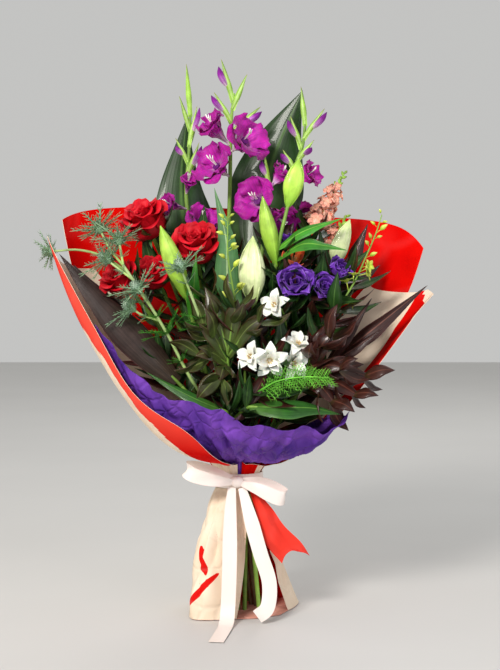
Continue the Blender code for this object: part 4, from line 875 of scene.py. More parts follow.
gathered = [7, 14, 19, 20, 20, 19, 14, 7]
bow_left, left_length = strip(
    [KNOT + at(-5, -3, 0), KNOT + at(-30, -21, 5), KNOT + at(-60, -27, 14), KNOT + at(-67, -19, 22),
     KNOT + at(-40, -9, 18), KNOT + at(-5, 1, 4)], [unit(0.3, 0.1, 0.9)] * 6, gathered, 64, 1.2, 0.5)
bow_right, right_length = strip(
    [KNOT + at(5, -3, -2), KNOT + at(28, -18, -7), KNOT + at(57, -22, -19), KNOT + at(65, -13, -16),
     KNOT + at(36, -6, -1), KNOT + at(5, 1, 2)], [unit(0.1, 0.1, 1)] * 6, gathered, 64, 1.2, 0.5)
cloth("ribbon_bow_left", bow_left, left_length, "folded", ["ribbon_band"], "ribbon_bow",
      area=0.84 * left_length * RIBBON_WIDTH * MM)
cloth("ribbon_bow_right", bow_right, right_length, "folded", ["ribbon_band"], "ribbon_bow",
      area=0.84 * right_length * RIBBON_WIDTH * MM)
knot_rows = []
for turn in np.linspace(0, 2 * math.pi, 33):
    knot_rows.append([tuple(KNOT + at(
        x, math.cos(turn) * (7.4 - 0.06 * x * x + 0.5 * math.sin(x * 1.4 + turn * 2)),
        math.sin(turn) * (8.2 - 0.05 * x * x + 0.5 * math.sin(x * 1.7 + 1)))) for x in np.linspace(-9, 9, 11)])
knot = Growth()
plate(knot, np.array(knot_rows), RIBBON)
cloth("ribbon_knot", knot, 0.05, "folded", ["ribbon_band"], "ribbon_bow")

tail_long, long_length = strip(
    [at(-15, -38, 177.2), at(-17, -55, 142), at(-18, -78, 70), at(-20, -86, 20), at(-22, -103, 3.6),
     at(-27, -138, 1.2), at(-34, -182, 0.45)],
    [unit(1, 0, -0.1), unit(1, 0.1, 0), unit(1, 0.1, 0), unit(1, 0, 0), unit(1, 0, 0), unit(1, -0.1, 0),
     unit(1, -0.15, 0)], [11, 20, 20, 20, 20], 90)
cloth("ribbon_tail_long", tail_long, long_length, "draped", ["ribbon_bow_left"], "ribbon_tail_long")
tail_curled, curled_length = strip(
    [at(-1, -38, 176.8), at(10, -56, 140), at(24, -68, 92), at(36, -74, 54), at(34, -84, 22), at(20, -92, 10)],
    [unit(1, 0, 0.2), unit(0.9, 0, 0.4), unit(0.8, 0.1, 0.5), unit(0.8, 0.1, 0.4), unit(0.9, 0.2, 0.2),
     unit(0.9, 0.4, 0.1)], [11, 20, 20, 20, 20], 70, 0.8)
cloth("ribbon_tail_curled", tail_curled, curled_length, "hung", ["ribbon_bow_right"], "ribbon_tail_curled")

# %% [markdown]
# Needles, bracts, small buds and the leaves of a sprig are one shape many times over. Geometry Nodes set
# a copy of the shape on each of a cloud of points, turned and sized by values the points carry, make the
# copies real, and join them to the stem they grow on. The seed is fixed, so each run gives the same plant.

# %% Geometry Nodes: one shape set on many places
def repeat_tree():
    """The node tree, and the identifiers of its named inputs."""
    tree = bpy.data.node_groups.new("set a shape on places", "GeometryNodeTree")
    sockets = {}
    for label, kind in (("Stem", "Geometry"), ("Places", "Object"), ("Shape", "Object"), ("Size", "Float"),
                        ("Unevenness", "Float"), ("Seed", "Int"), ("Finish", "Material")):
        socket = tree.interface.new_socket(label, in_out="INPUT", socket_type="NodeSocket" + kind)
        sockets[label] = socket.identifier
    tree.interface.new_socket("Plant", in_out="OUTPUT", socket_type="NodeSocketGeometry")
    given = add(tree, "NodeGroupInput").outputs

    places, shape = (add(tree, "GeometryNodeObjectInfo", {"Object": given[key]}).outputs["Geometry"]
                     for key in ("Places", "Shape"))
    turn, reach, own, lies = (
        add(tree, "GeometryNodeInputNamedAttribute", {"Name": name}, data_type=kind) for name, kind in (
            ("turn", "QUATERNION"), ("reach", "FLOAT"), ("own", "FLOAT"), ("blade", "FLOAT_VECTOR")))
    least, most = (add(tree, "ShaderNodeMath", {0: 1.0, 1: given["Unevenness"]}, operation=way)
                   for way in ("SUBTRACT", "ADD"))
    uneven, tint = (
        add(tree, "FunctionNodeRandomValue", {2: low, 3: high, 8: given["Seed"]}, data_type="FLOAT").outputs[1]
        for low, high in ((least, most), (0.0, 1.0)))
    sized = add(tree, "ShaderNodeMath", {0: reach, 1: given["Size"]}, operation="MULTIPLY")
    grown = add(tree, "ShaderNodeMath", {0: sized, 1: uneven}, operation="MULTIPLY")
    copies = add(tree, "GeometryNodeInstanceOnPoints",
                 {"Points": places, "Instance": shape, "Rotation": turn, "Scale": grown})
    marked = add(tree, "GeometryNodeStoreNamedAttribute", {0: copies, "Name": "own", 3: tint},
                 data_type="FLOAT", domain="INSTANCE")
    real = add(tree, "GeometryNodeRealizeInstances", {0: marked})
    along, across, _ = add(tree, "ShaderNodeSeparateXYZ", {0: lies}).outputs
    tinted = add(tree, "ShaderNodeCombineXYZ", {0: along, 1: across, 2: own})
    stored = add(tree, "GeometryNodeStoreNamedAttribute", {0: real, "Name": "blade", 3: tinted},
                 data_type="FLOAT_VECTOR", domain="POINT")
    dressed = add(tree, "GeometryNodeSetMaterial", {0: stored, "Material": given["Finish"]})
    joined = add(tree, "GeometryNodeJoinGeometry", {0: dressed})
    tree.links.new(given["Stem"], joined.inputs[0])
    add(tree, "NodeGroupOutput", {0: joined})
    return tree, sockets


REPEAT, REPEAT_SOCKETS = repeat_tree()
LOOSE = []


def shape_object(name, growth):
    """A growth as a loose object, to be set on places."""
    LOOSE.append(bpy.data.objects.new(name, mesh_of(name, growth)))
    return LOOSE[-1]


def places_object(places):
    """Points that carry how a shape is turned and sized. places holds (point, ahead, face, reach)."""
    mesh = bpy.data.meshes.new("places")
    mesh.from_pydata([tuple(point) for point, _, _, _ in places], [], [])
    turns = []
    for _, ahead, face, _ in places:
        z = ahead.normalized()
        x = (face - z * face.dot(z)).normalized()
        turns += list(Matrix((x, z.cross(x), z)).transposed().to_quaternion())
    mesh.attributes.new("turn", "QUATERNION", "POINT").data.foreach_set("value", turns)
    mesh.attributes.new("reach", "FLOAT", "POINT").data.foreach_set("value", [reach for *_, reach in places])
    return bpy.data.objects.new("places", mesh)


def set_on_places(piece, shape, places, skin, uneven, seed, size=1.0):
    """Copies of a shape join a piece. The shape points along Z with its face to X. size is of all copies."""
    cloud = places_object(places)
    for helper in (cloud, shape):
        bpy.context.scene.collection.objects.link(helper)
    nodes = piece.modifiers.new("repeat", "NODES")
    nodes.node_group = REPEAT
    for label, value in (("Places", cloud), ("Shape", shape), ("Size", size), ("Unevenness", uneven),
                         ("Seed", seed), ("Finish", SKINS[skin])):
        nodes[REPEAT_SOCKETS[label]] = value
    result = bpy.data.meshes.new_from_object(piece.evaluated_get(bpy.context.evaluated_depsgraph_get()))
    piece.modifiers.remove(nodes)
    old, piece.data = piece.data, result
    bpy.data.meshes.remove(old)
    bpy.data.objects.remove(cloud)
    bpy.context.scene.collection.objects.unlink(shape)
    if "own" in result.attributes:
        result.attributes.remove(result.attributes["own"])
    print(f"  {len(places)} x {shape.name}")


# %% [markdown]
# The seats are where the heads of the flowers stand on their stems, as the solids have them. They are
# collected while the heads are made, so that the stems can be grown to them at the end. Leaves and buds
# that climb a stem turn by the golden angle, because each then stands in the widest gap below it.

# %% Seats, stems and whorls
GAP = 0.3
GOLDEN = 2.39996
SEATS, SPRAYS = [], {}


def head_seat(centre, axis, depth, radius, spray=None):
    """Where a head's base sits. Its stem will end GAP below it. Heads of one spray share a main stem."""
    seat = centre - axis * depth * MM
    end = seat - axis * GAP * MM
    SEATS.append((end, axis, radius, spray))
    if spray:
        SPRAYS.setdefault(spray, []).append(end)
    return seat


def around(axis, angle):
    """The direction square to an axis, at an angle round it."""
    first, second = square_to(axis)
    return first * math.cos(angle) + second * math.sin(angle)


def own_stem(stem, radius, radii, sides, rows, spray=None):
    """A growth that holds a plant's own stem, and the stem's path. radius is that of the stem below."""
    path = [head_seat(stem[0], (stem[1] - stem[0]).normalized(), 0, radius, spray), *stem[1:]]
    growth = Growth()
    pod(growth, path, radii, sides, rows)
    return growth, path


def whorl(growth, base, axis, count, profile, halves, turn, **shape):
    """Petals round an axis. profile holds (out, along) places from the base, in millimetres."""
    for i in range(count):
        out = around(axis, 2 * math.pi * (i + turn + tints.uniform(-0.06, 0.06)) / count)
        grown = tints.uniform(0.95, 1.0)
        spine = [base + (out * o * grown + axis * h * grown) * MM for o, h in profile]
        blade(growth, spine, halves, out.cross(axis), **shape)


# %% [markdown]
# A gladiolus bloom has a tube and six silky petals in two whorls, broad, overlapping and ruffled, with a
# pale streaked throat. Its spike carries more blooms still furled, each held in a pair of green spathes.

# %% Gladioli
SPIKES = {
    "gladiolus_left": {
        "stem": [at(-61, 40, 465), at(-74, 52, 530), at(-81, 60, 581), at(-77, 68, 645), at(-75, 72, 702)],
        "buds": [
            (0.97, at(-81, 75, 768), 4.5, 0.0), (0.88, at(-91, 69, 722), 3.5, 0.0),
            (0.78, at(-65, 64, 708), 4.0, 0.9), (0.6, at(-62, 59, 656), 4.5, 0.8),
            (0.68, at(-96, 60, 662), 3.5, 0.3),
        ],
        "blooms": {
            "gladiolus_bloom_left": [(0.23, at(-56, 22, 548), 24, 1.0)],
            "gladiolus_bloom_side": [(0.4, at(-107, 32, 568), 18, 0.8)],
            "gladiolus_bloom_slim": [(0.5, at(-76, 40, 603), 15, 0.7)],
        },
    },
    "gladiolus_centre": {
        "stem": [at(-21, 34, 480), at(-19, 48, 570), at(-18, 55, 623), at(-17, 60, 680), at(-13, 62, 725)],
        "buds": [
            (0.94, at(-31, 60, 773), 4.5, 0.6), (0.88, at(6, 62, 752), 4.5, 0.0),
            (0.78, at(-41, 56, 726), 4.0, 0.8), (0.7, at(25, 60, 706), 4.5, 0.7),
        ],
        "blooms": {
            "gladiolus_bloom_top": [(0.62, at(-47, 42, 682), 27, 0.75)],
            "gladiolus_bloom_open": [(0.58, at(9, 26, 661), 34, 1.0)],
            "gladiolus_bloom_middle": [(0.42, at(-43, 24, 625), 31, 1.0)],
        },
    },
    "gladiolus_right": {
        "stem": [at(52, 46, 490), at(66, 66, 585), at(76, 76, 625), at(86, 81, 655), at(90, 84, 692)],
        "buds": [
            (0.94, at(83, 85, 737), 4.5, 0.0), (0.8, at(117, 76, 705), 4.0, 0.8),
            (0.7, at(68, 80, 694), 4.0, 0.7), (0.55, at(102, 70, 660), 4.0, 0.3),
            (0.45, at(57, 72, 646), 4.0, 0.6),
        ],
        "blooms": {
            "gladiolus_bloom_right": [(0.32, at(99, 52, 612), 21, 0.9)],
            "gladiolus_bloom_corner": [(0.18, at(86, 28, 552), 21, 0.9)],
        },
    },
    "gladiolus_low": {
        "stem": [at(24, 24, 470), at(30, 28, 530), at(35, 34, 575), at(37, 38, 600)],
        "buds": [(0.9, at(30, 40, 640), 4.0, 0.5)],
        "blooms": {
            "gladiolus_blooms_low": [(0.6, at(16, 2, 574), 31, 1.0), (0.6, at(54, -2, 541), 26, 1.0)],
            "gladiolus_bloom_back": [(0.85, at(58, 30, 612), 20, 0.9)],
        },
    },
}


def gladiolus_bloom(growth, base, centre, size, openness):
    """Throat tube, two whorls of ruffled petals and the stamens. size is the radius of the bloom."""
    axis = (centre - base).normalized()
    depth = (centre - base).length / MM
    flare = size * openness
    pod(growth, [base + axis * depth * s * MM for s in (0, 0.4, 0.78)], [1.5, 3.4, 5.4], 12, 6, finish=1)
    inner, outer = ([(1.0, depth * rise)] + [(flare * o, depth * h) for o, h in profile] for rise, profile in (
        (0.2, ((0.22, 0.6), (0.52, 0.98), (0.84, 1.13), (1.04, 1.1))),
        (0.15, ((0.26, 0.5), (0.56, 0.84), (0.9, 0.97), (1.1, 0.88)))))
    wide = size * 0.52
    halves = [wide * share for share in (0.14, 0.4, 0.82, 1.08, 0.86, 0.12)]
    shape = {"rows": 16, "columns": 10, "waves": 3.6, "thick": 0.5}
    whorl(growth, base, axis, 3, outer, [half * 1.05 for half in halves], 0.5, ruffle=0.2, cup=0.12, **shape)
    whorl(growth, base, axis, 3, inner, halves, 0.0, ruffle=0.26, cup=0.2, **shape)
    for i in range(3):
        aside = around(axis, i * 0.5 + 1.2) * size * 0.14
        root, end = base + axis * depth * 0.5 * MM, base + (axis * depth * (1.02 + 0.05 * i) + aside) * MM
        pod(growth, [root, root.lerp(end, 0.6), end], [0.7, 0.6, 0.5], 5, 4, finish=2)
        anther = [end, end + (axis * 3 + aside * 0.3) * MM, end + (axis * 6 + aside) * MM]
        pod(growth, anther, [0.6, 1.1, 0.5], 6, 4, finish=2)


for name, spike in SPIKES.items():
    stem = spike["stem"]
    growth, path = own_stem(stem, 2.8, [3.2, 3.0, 2.8, 2.4, 1.8][: len(stem)], 10, 20)
    for place, tip, r, shown in spike["buds"]:
        root, along = along_path(path, place)
        up = tip - root
        aside = (up - along * up.dot(along)).normalized()
        for k, (side, length) in enumerate(((-1, 1.0), (1, 0.8))):
            end = root.lerp(tip, length)
            bulge = aside * side * r * 0.55 * MM
            spathe = [root - along * 3 * MM, root.lerp(end, 0.4) + bulge, root.lerp(end, 0.75) + bulge * 0.7, end]
            leaf(growth, spathe, [r * s for s in (0.7, 1.1, 1)] + [r * 0.55, 0.25],
                 (FRONT * 0.8 + aside * side).normalized(), cup=0.6, rows=12, thick=0.7, finish=1)
        furled = [root, root.lerp(tip, 0.5), root.lerp(tip, 0.96)]
        pod(growth, furled, [r * 0.5, r * 0.95, r * 0.6, 0.3], 10, 10, finish=1)
        if shown:
            begin = root.lerp(tip, 0.3)
            finish_at = root.lerp(tip, 0.62 + 0.42 * shown) + (aside * 2.2 - along * 1.5) * r * 0.55 * MM
            pod(growth, [begin, begin.lerp(finish_at, 0.55) + aside * r * 0.7 * MM, finish_at],
                [r * 0.4, r * 0.95, r * 1.0, r * 0.7, 0.4], 12, 12, 4, 0.12, finish=2)
    make_piece(name, growth, ["stem", "spathe", "gladiolus furled bud"], "spike_green")
    for bloom, heads in spike["blooms"].items():
        place, first = heads[0][:2]
        root = along_path(path, place)[0]
        off = (first - root).normalized()
        growth = Growth()
        for i, (_, centre, size, openness) in enumerate(heads):
            gladiolus_bloom(growth, root + off * (2.6 + GAP + 6 * i) * MM, centre, size, openness)
        make_piece(bloom, growth, ["gladiolus petal", "gladiolus furled bud", "white petal"], "petal_magenta")

# %% [markdown]
# A florist's rose opens from a tight spiral. The middle petals stand and wrap each other, and the outer
# ones bend back and roll their rims under, so each ring below is wider, lower and more open than the last.

# %% Roses
ROSES = {
    "rose_upper": (at(-135, 5, 542), unit(-0.35, -0.5, 0.8), 29),
    "rose_right": (at(-65, -10, 509), unit(-0.1, -0.6, 0.8), 29),
    "rose_left": (at(-166, -34, 462), unit(-0.55, -0.5, 0.65), 24),
    "rose_middle": (at(-123, -8, 470), unit(-0.3, -0.7, 0.65), 22),
}
# Petals of a ring, its radius, height and half-width as shares, and how far the rim rolls out
ROSE_RINGS = (
    (3, 0.14, 0.98, 0.28, 0.05), (3, 0.3, 1.02, 0.46, 0.1), (4, 0.52, 1.0, 0.6, 0.16),
    (4, 0.76, 0.92, 0.74, 0.24), (5, 0.96, 0.74, 0.74, 0.3),
)
for name, (centre, axis, size) in ROSES.items():
    base = head_seat(centre, axis, size * 0.8, 2.6)
    tall = size * 1.5
    growth = Growth()
    for k, (count, rim, height, half, roll) in enumerate(ROSE_RINGS):
        r, h, w = size * rim, tall * height, size * half
        profile = [(1.5, 1), (r * 0.72 + 1.5, h * 0.18), (r * 0.98, h * 0.5), (r * 0.9, h * 0.82),
                   (r + size * roll * 0.4, h * 0.99), (r + size * roll, h * 0.95)]
        whorl(growth, base, axis, count, profile, [w * 0.3, w * 0.75, w, w * 1.08, w * 0.86, w * 0.3],
              turn=k * 0.37, cup=min(0.95, w / (2 * r)), ruffle=0.04, waves=1.5, rows=16, columns=12, thick=0.7)
    pod(growth, [base - axis * 2 * MM, base + axis * 4 * MM, base + axis * 9 * MM], [2.4, 5.5, 4], 12, 6, finish=1)
    sepal = [(2, 1), (size * 0.42, size * 0.12), (size * 0.75, size * 0.08), (size * 1.0, -size * 0.12)]
    whorl(growth, base, axis, 5, sepal, [2.2, 3.4, 2.4, 0.3], 0.2, finish=1, rows=8, columns=4, cup=0.2)
    make_piece(name, growth, ["rose petal", "rose leaf"], "petal_red")

# %% [markdown]
# Lisianthus and alstroemeria are wide cups. Lisianthus petals are many and ruffled, and crowd like those
# of a small rose, over a green calyx. An alstroemeria has six petals that stand open, the inner ones narrow.

# %% Cup blooms
LISIANTHUS = {
    "lisianthus_front": (at(72, -66, 460), unit(-0.1, -0.8, 0.6), 20),
    "lisianthus_right": (at(111, -62, 454), unit(0.25, -0.8, 0.5), 16),
    "lisianthus_pale": (at(132, -42, 478), unit(0.5, -0.5, 0.7), 14),
    "lisianthus_back": (at(52, -14, 514), unit(0, -0.5, 0.86), 14),
}
CUP_RINGS = ((3, 0.26, 0.84, 0.46), (4, 0.7, 1.04, 0.74), (5, 1.16, 0.94, 0.84))


def cup_bloom(growth, centre, axis, size, spray, rings, ruffle):
    """Rings of ruffled petals round a throat. rings holds petals, radius, height and half-width shares."""
    base = head_seat(centre, axis, size * 0.8, 1.6, spray)
    tall = size * 1.25
    for k, (count, rim, height, half) in enumerate(rings):
        r, h, w = size * rim, tall * height, size * half
        profile = [(1, 1), (r * 0.55 + 1, h * 0.3), (r * 0.86, h * 0.7), (r * 0.98, h * 0.96), (r * 1.06, h)]
        whorl(growth, base, axis, count, profile, [w * 0.25, w * 0.7, w, w * 1.05, w * 0.55], turn=k * 0.41,
              cup=min(0.8, w / (2 * r)), ruffle=ruffle, waves=2.6, rows=14, columns=8, thick=0.5)
    pod(growth, [base - axis * 2 * MM, base + axis * size * 0.2 * MM, base + axis * size * 0.42 * MM],
        [1.6, size * 0.2, size * 0.14], 10, 6, finish=1)
    whorl(growth, base, axis, 5, [(1.5, 0), (size * 0.45, size * 0.2), (size * 0.62, size * 0.5)],
          [1.2, 1.6, 0.3], 0.1, finish=1, rows=6, columns=4)
    return base


for name, (centre, axis, size) in LISIANTHUS.items():
    growth = Growth()
    cup_bloom(growth, centre, axis, size, "lisianthus", CUP_RINGS, 0.4)
    make_piece(name, growth, ["violet petal", "rose leaf"], "petal_violet")

growth = Growth()
centre, axis = at(70, -36, 492), unit(0.1, -0.7, 0.7)
base = cup_bloom(growth, centre, axis, 15, None, ((3, 0.8, 1.05, 0.34), (3, 1.15, 0.9, 0.44)), 0.1)
for i in range(5):
    aside = around(axis, i * 1.26)
    pod(growth, [base + axis * 3 * MM, base + (axis * 10 + aside * 2) * MM, base + (axis * 16 + aside * 3) * MM],
        [0.4, 0.35, 0.6, 0.9, 0.3], 5, 6, finish=2)
make_piece("alstroemeria", growth, ["orange petal", "rose leaf", "anther"], "petal_orange")

# %% [markdown]
# Lily buds are long three-sided spindles with a seam along each side. They sit on short stalks above
# their lance leaves, and one broad grey-green leaf stands behind the large pale bud.

# %% Lilies
LILIES = {
    "lily_left": {
        "stem": [at(-66, -48, 400), at(-76, -50, 440)],
        "buds": [(1, at(-111, -56, 537), 13, 1)],
        "leaves": [(0.3, [at(-66, -66, 450), at(-62, -74, 500)], [8, 9], unit(0.2, -1, 0.2), 3)],
    },
    "lily_centre": {
        "stem": [at(12, -50, 385), at(15, -58, 432)],
        "buds": [(1, at(14, -62, 523), 18, 2)],
        "leaves": [
            (0.2, [at(-18, -40, 450), at(-23, -31, 520), at(-39, -20, 589)], [10, 18, 14],
             unit(-0.2, -1, 0.2), 4),
        ],
    },
    "lily_upper": {
        "stem": [at(42, -30, 440), at(47, -34, 500), at(62, -30, 566)],
        "buds": [(1, at(77, -28, 628), 13, 1), (0.38, at(27, -38, 577), 11, 1)],
        "leaves": [
            (0.42, [at(80, -60, 512), at(112, -72, 510), at(141, -76, 504)], [8, 12, 8], unit(0, -0.6, 0.7), 3),
            (0.55, [at(84, -46, 530), at(138, -44, 548)], [8, 10], unit(0, -0.6, 0.7), 3),
        ],
    },
    "lily_right": {
        "stem": [at(104, -8, 430), at(121, -8, 474)],
        "buds": [(1, at(148, -10, 546), 12, 2)],
        "leaves": [],
    },
}
for name, plant in LILIES.items():
    growth, path = own_stem(plant["stem"], 2.6, [2.7, 2.6, 2.4], 10, 14)
    for place, tip, r, finish in plant["buds"]:
        root = along_path(path, place)[0]
        root += (root - tip).normalized() * 4 * MM
        pod(growth, [root, root.lerp(tip, 0.5), tip], [2.2, r * 0.55, r * 0.92, r * 1.02, r * 0.84, r * 0.5, 0.8],
            24, 26, 3, 0.1, finish=finish)
        for k in range(3):
            out = around((tip - root).normalized(), 2 * math.pi * k / 3)
            spine = [root.lerp(tip, s) + out * w * r * MM
                     for s, w in ((0.02, 0.3), (0.25, 0.82), (0.5, 1.08), (0.75, 0.82), (0.98, 0.1))]
            blade(growth, spine, [0.5, 1.4, 1.8, 1.4, 0.3], out.cross(tip - root).normalized(), 14, 4, thick=1.4,
                  finish=finish)
    for place, spine, halves, face, finish in plant["leaves"]:
        line = [along_path(path, place)[0], *spine]
        leaf(growth, line, [halves[0] * 0.5, *halves, halves[-1] * 0.45, 0.2], face, cup=0.18, rows=26, columns=8,
             ruffle=0.05, finish=finish)
    make_piece(name, growth, ["stem", "lily bud", "pale lily bud", "lily leaf", "grey leaf"], "leaf_lily")

# %% [markdown]
# Sea holly is stiff and dry. Each head is a small cone of tight florets with a star of narrow spiny
# bracts under it. One bract and one floret are made, and set round every head.

# %% Sea holly
THISTLES = {
    "thistle_left": {
        "trunk": [at(-40, -84, 290), at(-70, -94, 335), at(-100, -90, 392), at(-128, -86, 438), at(-160, -74, 484)],
        "branches": [
            (1.0, [at(-178, -60, 504), at(-192, -44, 528)]), (1.0, [at(-166, -58, 512)]),
            (0.7, [at(-136, -92, 448)]), (0.6, [at(-134, -86, 418), at(-144, -84, 424)]),
            (0.95, [at(-190, -46, 496), at(-228, -10, 504), at(-262, 4, 502)]), (0.9, [at(-178, -70, 488)]),
        ],
    },
    "thistle_right": {
        "trunk": [at(-30, -72, 330), at(-52, -84, 400), at(-70, -92, 450)],
        "branches": [(1.0, [at(-80, -96, 476)])],
    },
}
BRACTS, FLORETS = 17, 70
bract_growth = Growth()
blade(bract_growth, [at(0, 0, 0), at(0.8, 0, 9), at(0.2, 0, 19), at(-1.5, 0, 29)], [0.7, 1.3, 1.1, 0.7, 0.12],
      Vector((0, 1, 0)), 8, 4, cup=0.3, thick=0.5, tint=0.5)
for i in range(5):
    for side in (-1, 1):
        root = at(0.4, side * 0.6, 5 + 4.6 * i)
        blade(bract_growth, [root, root + at(0.4, side * (5.2 - 0.7 * i), 4.6)], [0.7, 0.4, 0.08],
              Vector((0, 0.5, -1)), 3, 2, thick=0.4, tint=0.5)
bract = shape_object("bract", bract_growth)
floret_growth = Growth()
pod(floret_growth, [at(0, 0, -0.6), at(0, 0, 0.8), at(0, 0, 2.4)], [0.6, 0.75, 0.15], 4, 3, tint=0.5)
floret = shape_object("cone floret", floret_growth)


def thistle_head(growth, end, axis, bracts, florets):
    """A cone of florets, and the star of bracts below it."""
    pod(growth, [end + axis * s * MM for s in (-2, 9, 19)], [1.5, 6.0, 6.4, 5.0, 1.2], 12, 10, finish=1)
    root = end + axis * 4 * MM
    for i in range(BRACTS):
        out = around(axis, 2 * math.pi * (i + 0.5) / BRACTS)
        ahead = (out + axis * (0.5 if i % 2 else 0.12)).normalized()
        bracts.append((root + out * 2.5 * MM, ahead, axis, (1.25 if i % 2 else 1.05) * (0.8 if end.x < -0.2 else 1)))
    for i in range(FLORETS):
        place = (i + 0.5) / FLORETS
        out = around(axis, i * GOLDEN)
        radius = 6.3 * math.sqrt(max(0.0, 1 - ((place - 0.35) / 0.68) ** 2))
        florets.append((end + (axis * (1 + 17.5 * place) + out * radius) * MM,
                        (out + axis * (place * 2 - 0.4)).normalized(), axis, 1.0))


for name, plant in THISTLES.items():
    growth, path = own_stem(plant["trunk"], 2.0, [2.3, 2.2, 2.0], 9, 24)
    bracts, florets, collar = [], [], []
    for place, points in plant["branches"]:
        branch = [along_path(path, place)[0], *points]
        pod(growth, branch, [1.8, 1.5], 8, 10)
        axis = (branch[-1] - branch[-2]).normalized()
        thistle_head(growth, branch[-1], axis, bracts, florets)
        joint, way = along_path(branch, 0.35)
        for k in range(5):
            bracts.append((joint, (around(way, k * 1.26) + way * 0.7).normalized(), way, 0.6))
    for place, wide in ((0.34, 0.9), (0.5, 1.25), (0.62, 0.9)):
        joint, way = along_path(path, place)
        for k in range(9):
            ahead = around(way, k * 0.7 + place) + way * (0.35 + 0.3 * (k % 2))
            collar.append((joint, ahead.normalized(), way, wide))
    piece = make_piece(name, growth, ["thistle stem", "thistle cone"], "thistle")
    set_on_places(piece, bract, bracts, "thistle bract", 0.18, 3)
    set_on_places(piece, bract, collar, "lily leaf", 0.18, 13)
    set_on_places(piece, floret, florets, "thistle cone", 0.15, 4)

# %% [markdown]
# A snapdragon floret is a small pouch with two ruffled lips. They crowd round the upper stem, open below
# and shut above, so one open floret and one shut one are set many times in a spiral, smaller to the tip.

# %% Snapdragons
SNAPDRAGONS = {
    "snapdragon_upper": ([at(97, 14, 520), at(110, 20, 552), at(126, 23, 582), at(143, 24, 612)], 26),
    "snapdragon_lower": ([at(98, 10, 466), at(112, 14, 492), at(128, 18, 520), at(146, 22, 552)], 24),
}
mouth_growth = Growth()
pod(mouth_growth, [at(0, 0, 0), at(0.6, 0, 6), at(0, 0, 12)], [1.6, 3.8, 4.2, 2.6], 10, 7, tint=0.5)
for angle, length, half in ((-0.55, 8.5, 4.2), (0.55, 8.5, 4.2), (2.3, 7.5, 3.8), (3.14, 8.5, 4.2), (-2.3, 7.5, 3.8)):
    out = Vector((math.cos(angle), math.sin(angle), 0))
    spine = [at(0, 0, 9) + out * 1.5 * MM, at(0, 0, 13) + out * length * 0.45 * MM, at(0, 0, 13) + out * length * MM]
    blade(mouth_growth, spine, [half * 0.5, half, half * 0.8, half * 0.2], Vector((0, 0, 1)).cross(out) * -1, 6, 6,
          ruffle=0.3, cup=0.25, waves=2, thick=0.5, tint=0.5)
mouth = shape_object("floret", mouth_growth)
closed_growth = Growth()
pod(closed_growth, [at(0, 0, 0), at(0.4, 0, 5), at(0, 0, 10)], [1.0, 2.6, 2.4, 0.6], 10, 7, 5, 0.08, tint=0.5)
closed_bud = shape_object("closed floret", closed_growth)
for name, (stem, florets) in SNAPDRAGONS.items():
    growth, path = own_stem(stem, 1.9, [2.0, 1.8, 1.6, 0.9], 8, 18, "snapdragons")
    open_ones, shut_ones = [], []
    for i in range(florets):
        place = 0.1 + 0.88 * i / (florets - 1)
        root, along = along_path(path, place)
        ahead = (around(along, GOLDEN * i) + along * (0.35 + place * 0.7)).normalized()
        (open_ones if place < 0.72 else shut_ones).append((root, ahead, along, 1.5 - 0.75 * place))
    piece = make_piece(name, growth, ["stem"], "petal_peach")
    set_on_places(piece, mouth, open_ones, "peach petal", 0.12, 5)
    set_on_places(piece, closed_bud, shut_ones, "spathe", 0.15, 6)

# %% [markdown]
# Two thin sprays of little orchids, still nearly all in bud: round yellow-green beads on short stalks,
# smaller to the tip, and a few that have opened.

# %% Bud sprays
BUD_SPRAYS = {
    "bud_spray_right": [at(128, -62, 424), at(152, -54, 462), at(168, -46, 496), at(182, -38, 528), at(190, -32, 552)],
    "bud_spray_left": [at(-6, -76, 420), at(-14, -76, 460), at(-20, -72, 500), at(-20, -64, 532), at(-21, -58, 550)],
}
BUDS = 14
bead_growth = Growth()
pod(bead_growth, [at(0, 0, 0), at(0.3, 0, 5), at(0, 0, 10)], [0.4, 0.35, 0.4, 0.5], 5, 4, tint=0.5)
pod(bead_growth, [at(0, 0, 8), at(1, 0, 13), at(0, 0, 20)], [0.7, 2.4, 3.1, 2.2, 0.5], 9, 7, 3, 0.08, tint=0.5)
bead = shape_object("bead bud", bead_growth)
star_growth = Growth()
pod(star_growth, [at(0, 0, 0), at(0, 0, 5), at(0, 0, 10)], [0.4, 0.4, 0.8], 5, 4, tint=0.5)
whorl(star_growth, at(0, 0, 9), Vector((0, 0, 1)), 5, [(0.5, 0), (4, 2.5), (8, 3)], [0.8, 2.6, 2.2, 0.3], 0.25,
      rows=6, columns=4, cup=0.2, ruffle=0.1, thick=0.5, tint=0.5)
star = shape_object("open orchid", star_growth)
for name, stem in BUD_SPRAYS.items():
    growth, path = own_stem(stem, 1.5, [1.5, 1.3, 1.0, 0.7], 7, 22)
    beads, stars = [], []
    for i in range(BUDS):
        place = min(0.99, 0.06 + 0.92 * i / (BUDS - 1) + tints.uniform(-0.035, 0.035))
        root, along = along_path(path, place)
        side = along.cross(FRONT).normalized() * tints.choice((1, -1))
        out = side * tints.uniform(0.4, 1.2) + along * tints.uniform(0.4, 1.2) + FRONT * tints.uniform(-0.2, 1.0)
        grown = stars if name.endswith("right") and i < 6 else beads
        size = 1.3 if grown is stars else 1.35 - 0.75 * place
        grown.append((root, out.normalized(), along, size * tints.uniform(0.85, 1.15)))
    piece = make_piece(name, growth, ["stem"], "bud_lime")
    set_on_places(piece, bead, beads, "orchid bud", 0.15, 7)
    if stars:
        set_on_places(piece, star, stars, "orchid bud", 0.1, 8)

# %% [markdown]
# The white blooms are simple stars: broad petals that end in a soft point, a second row of shorter ones,
# and a small cream centre.

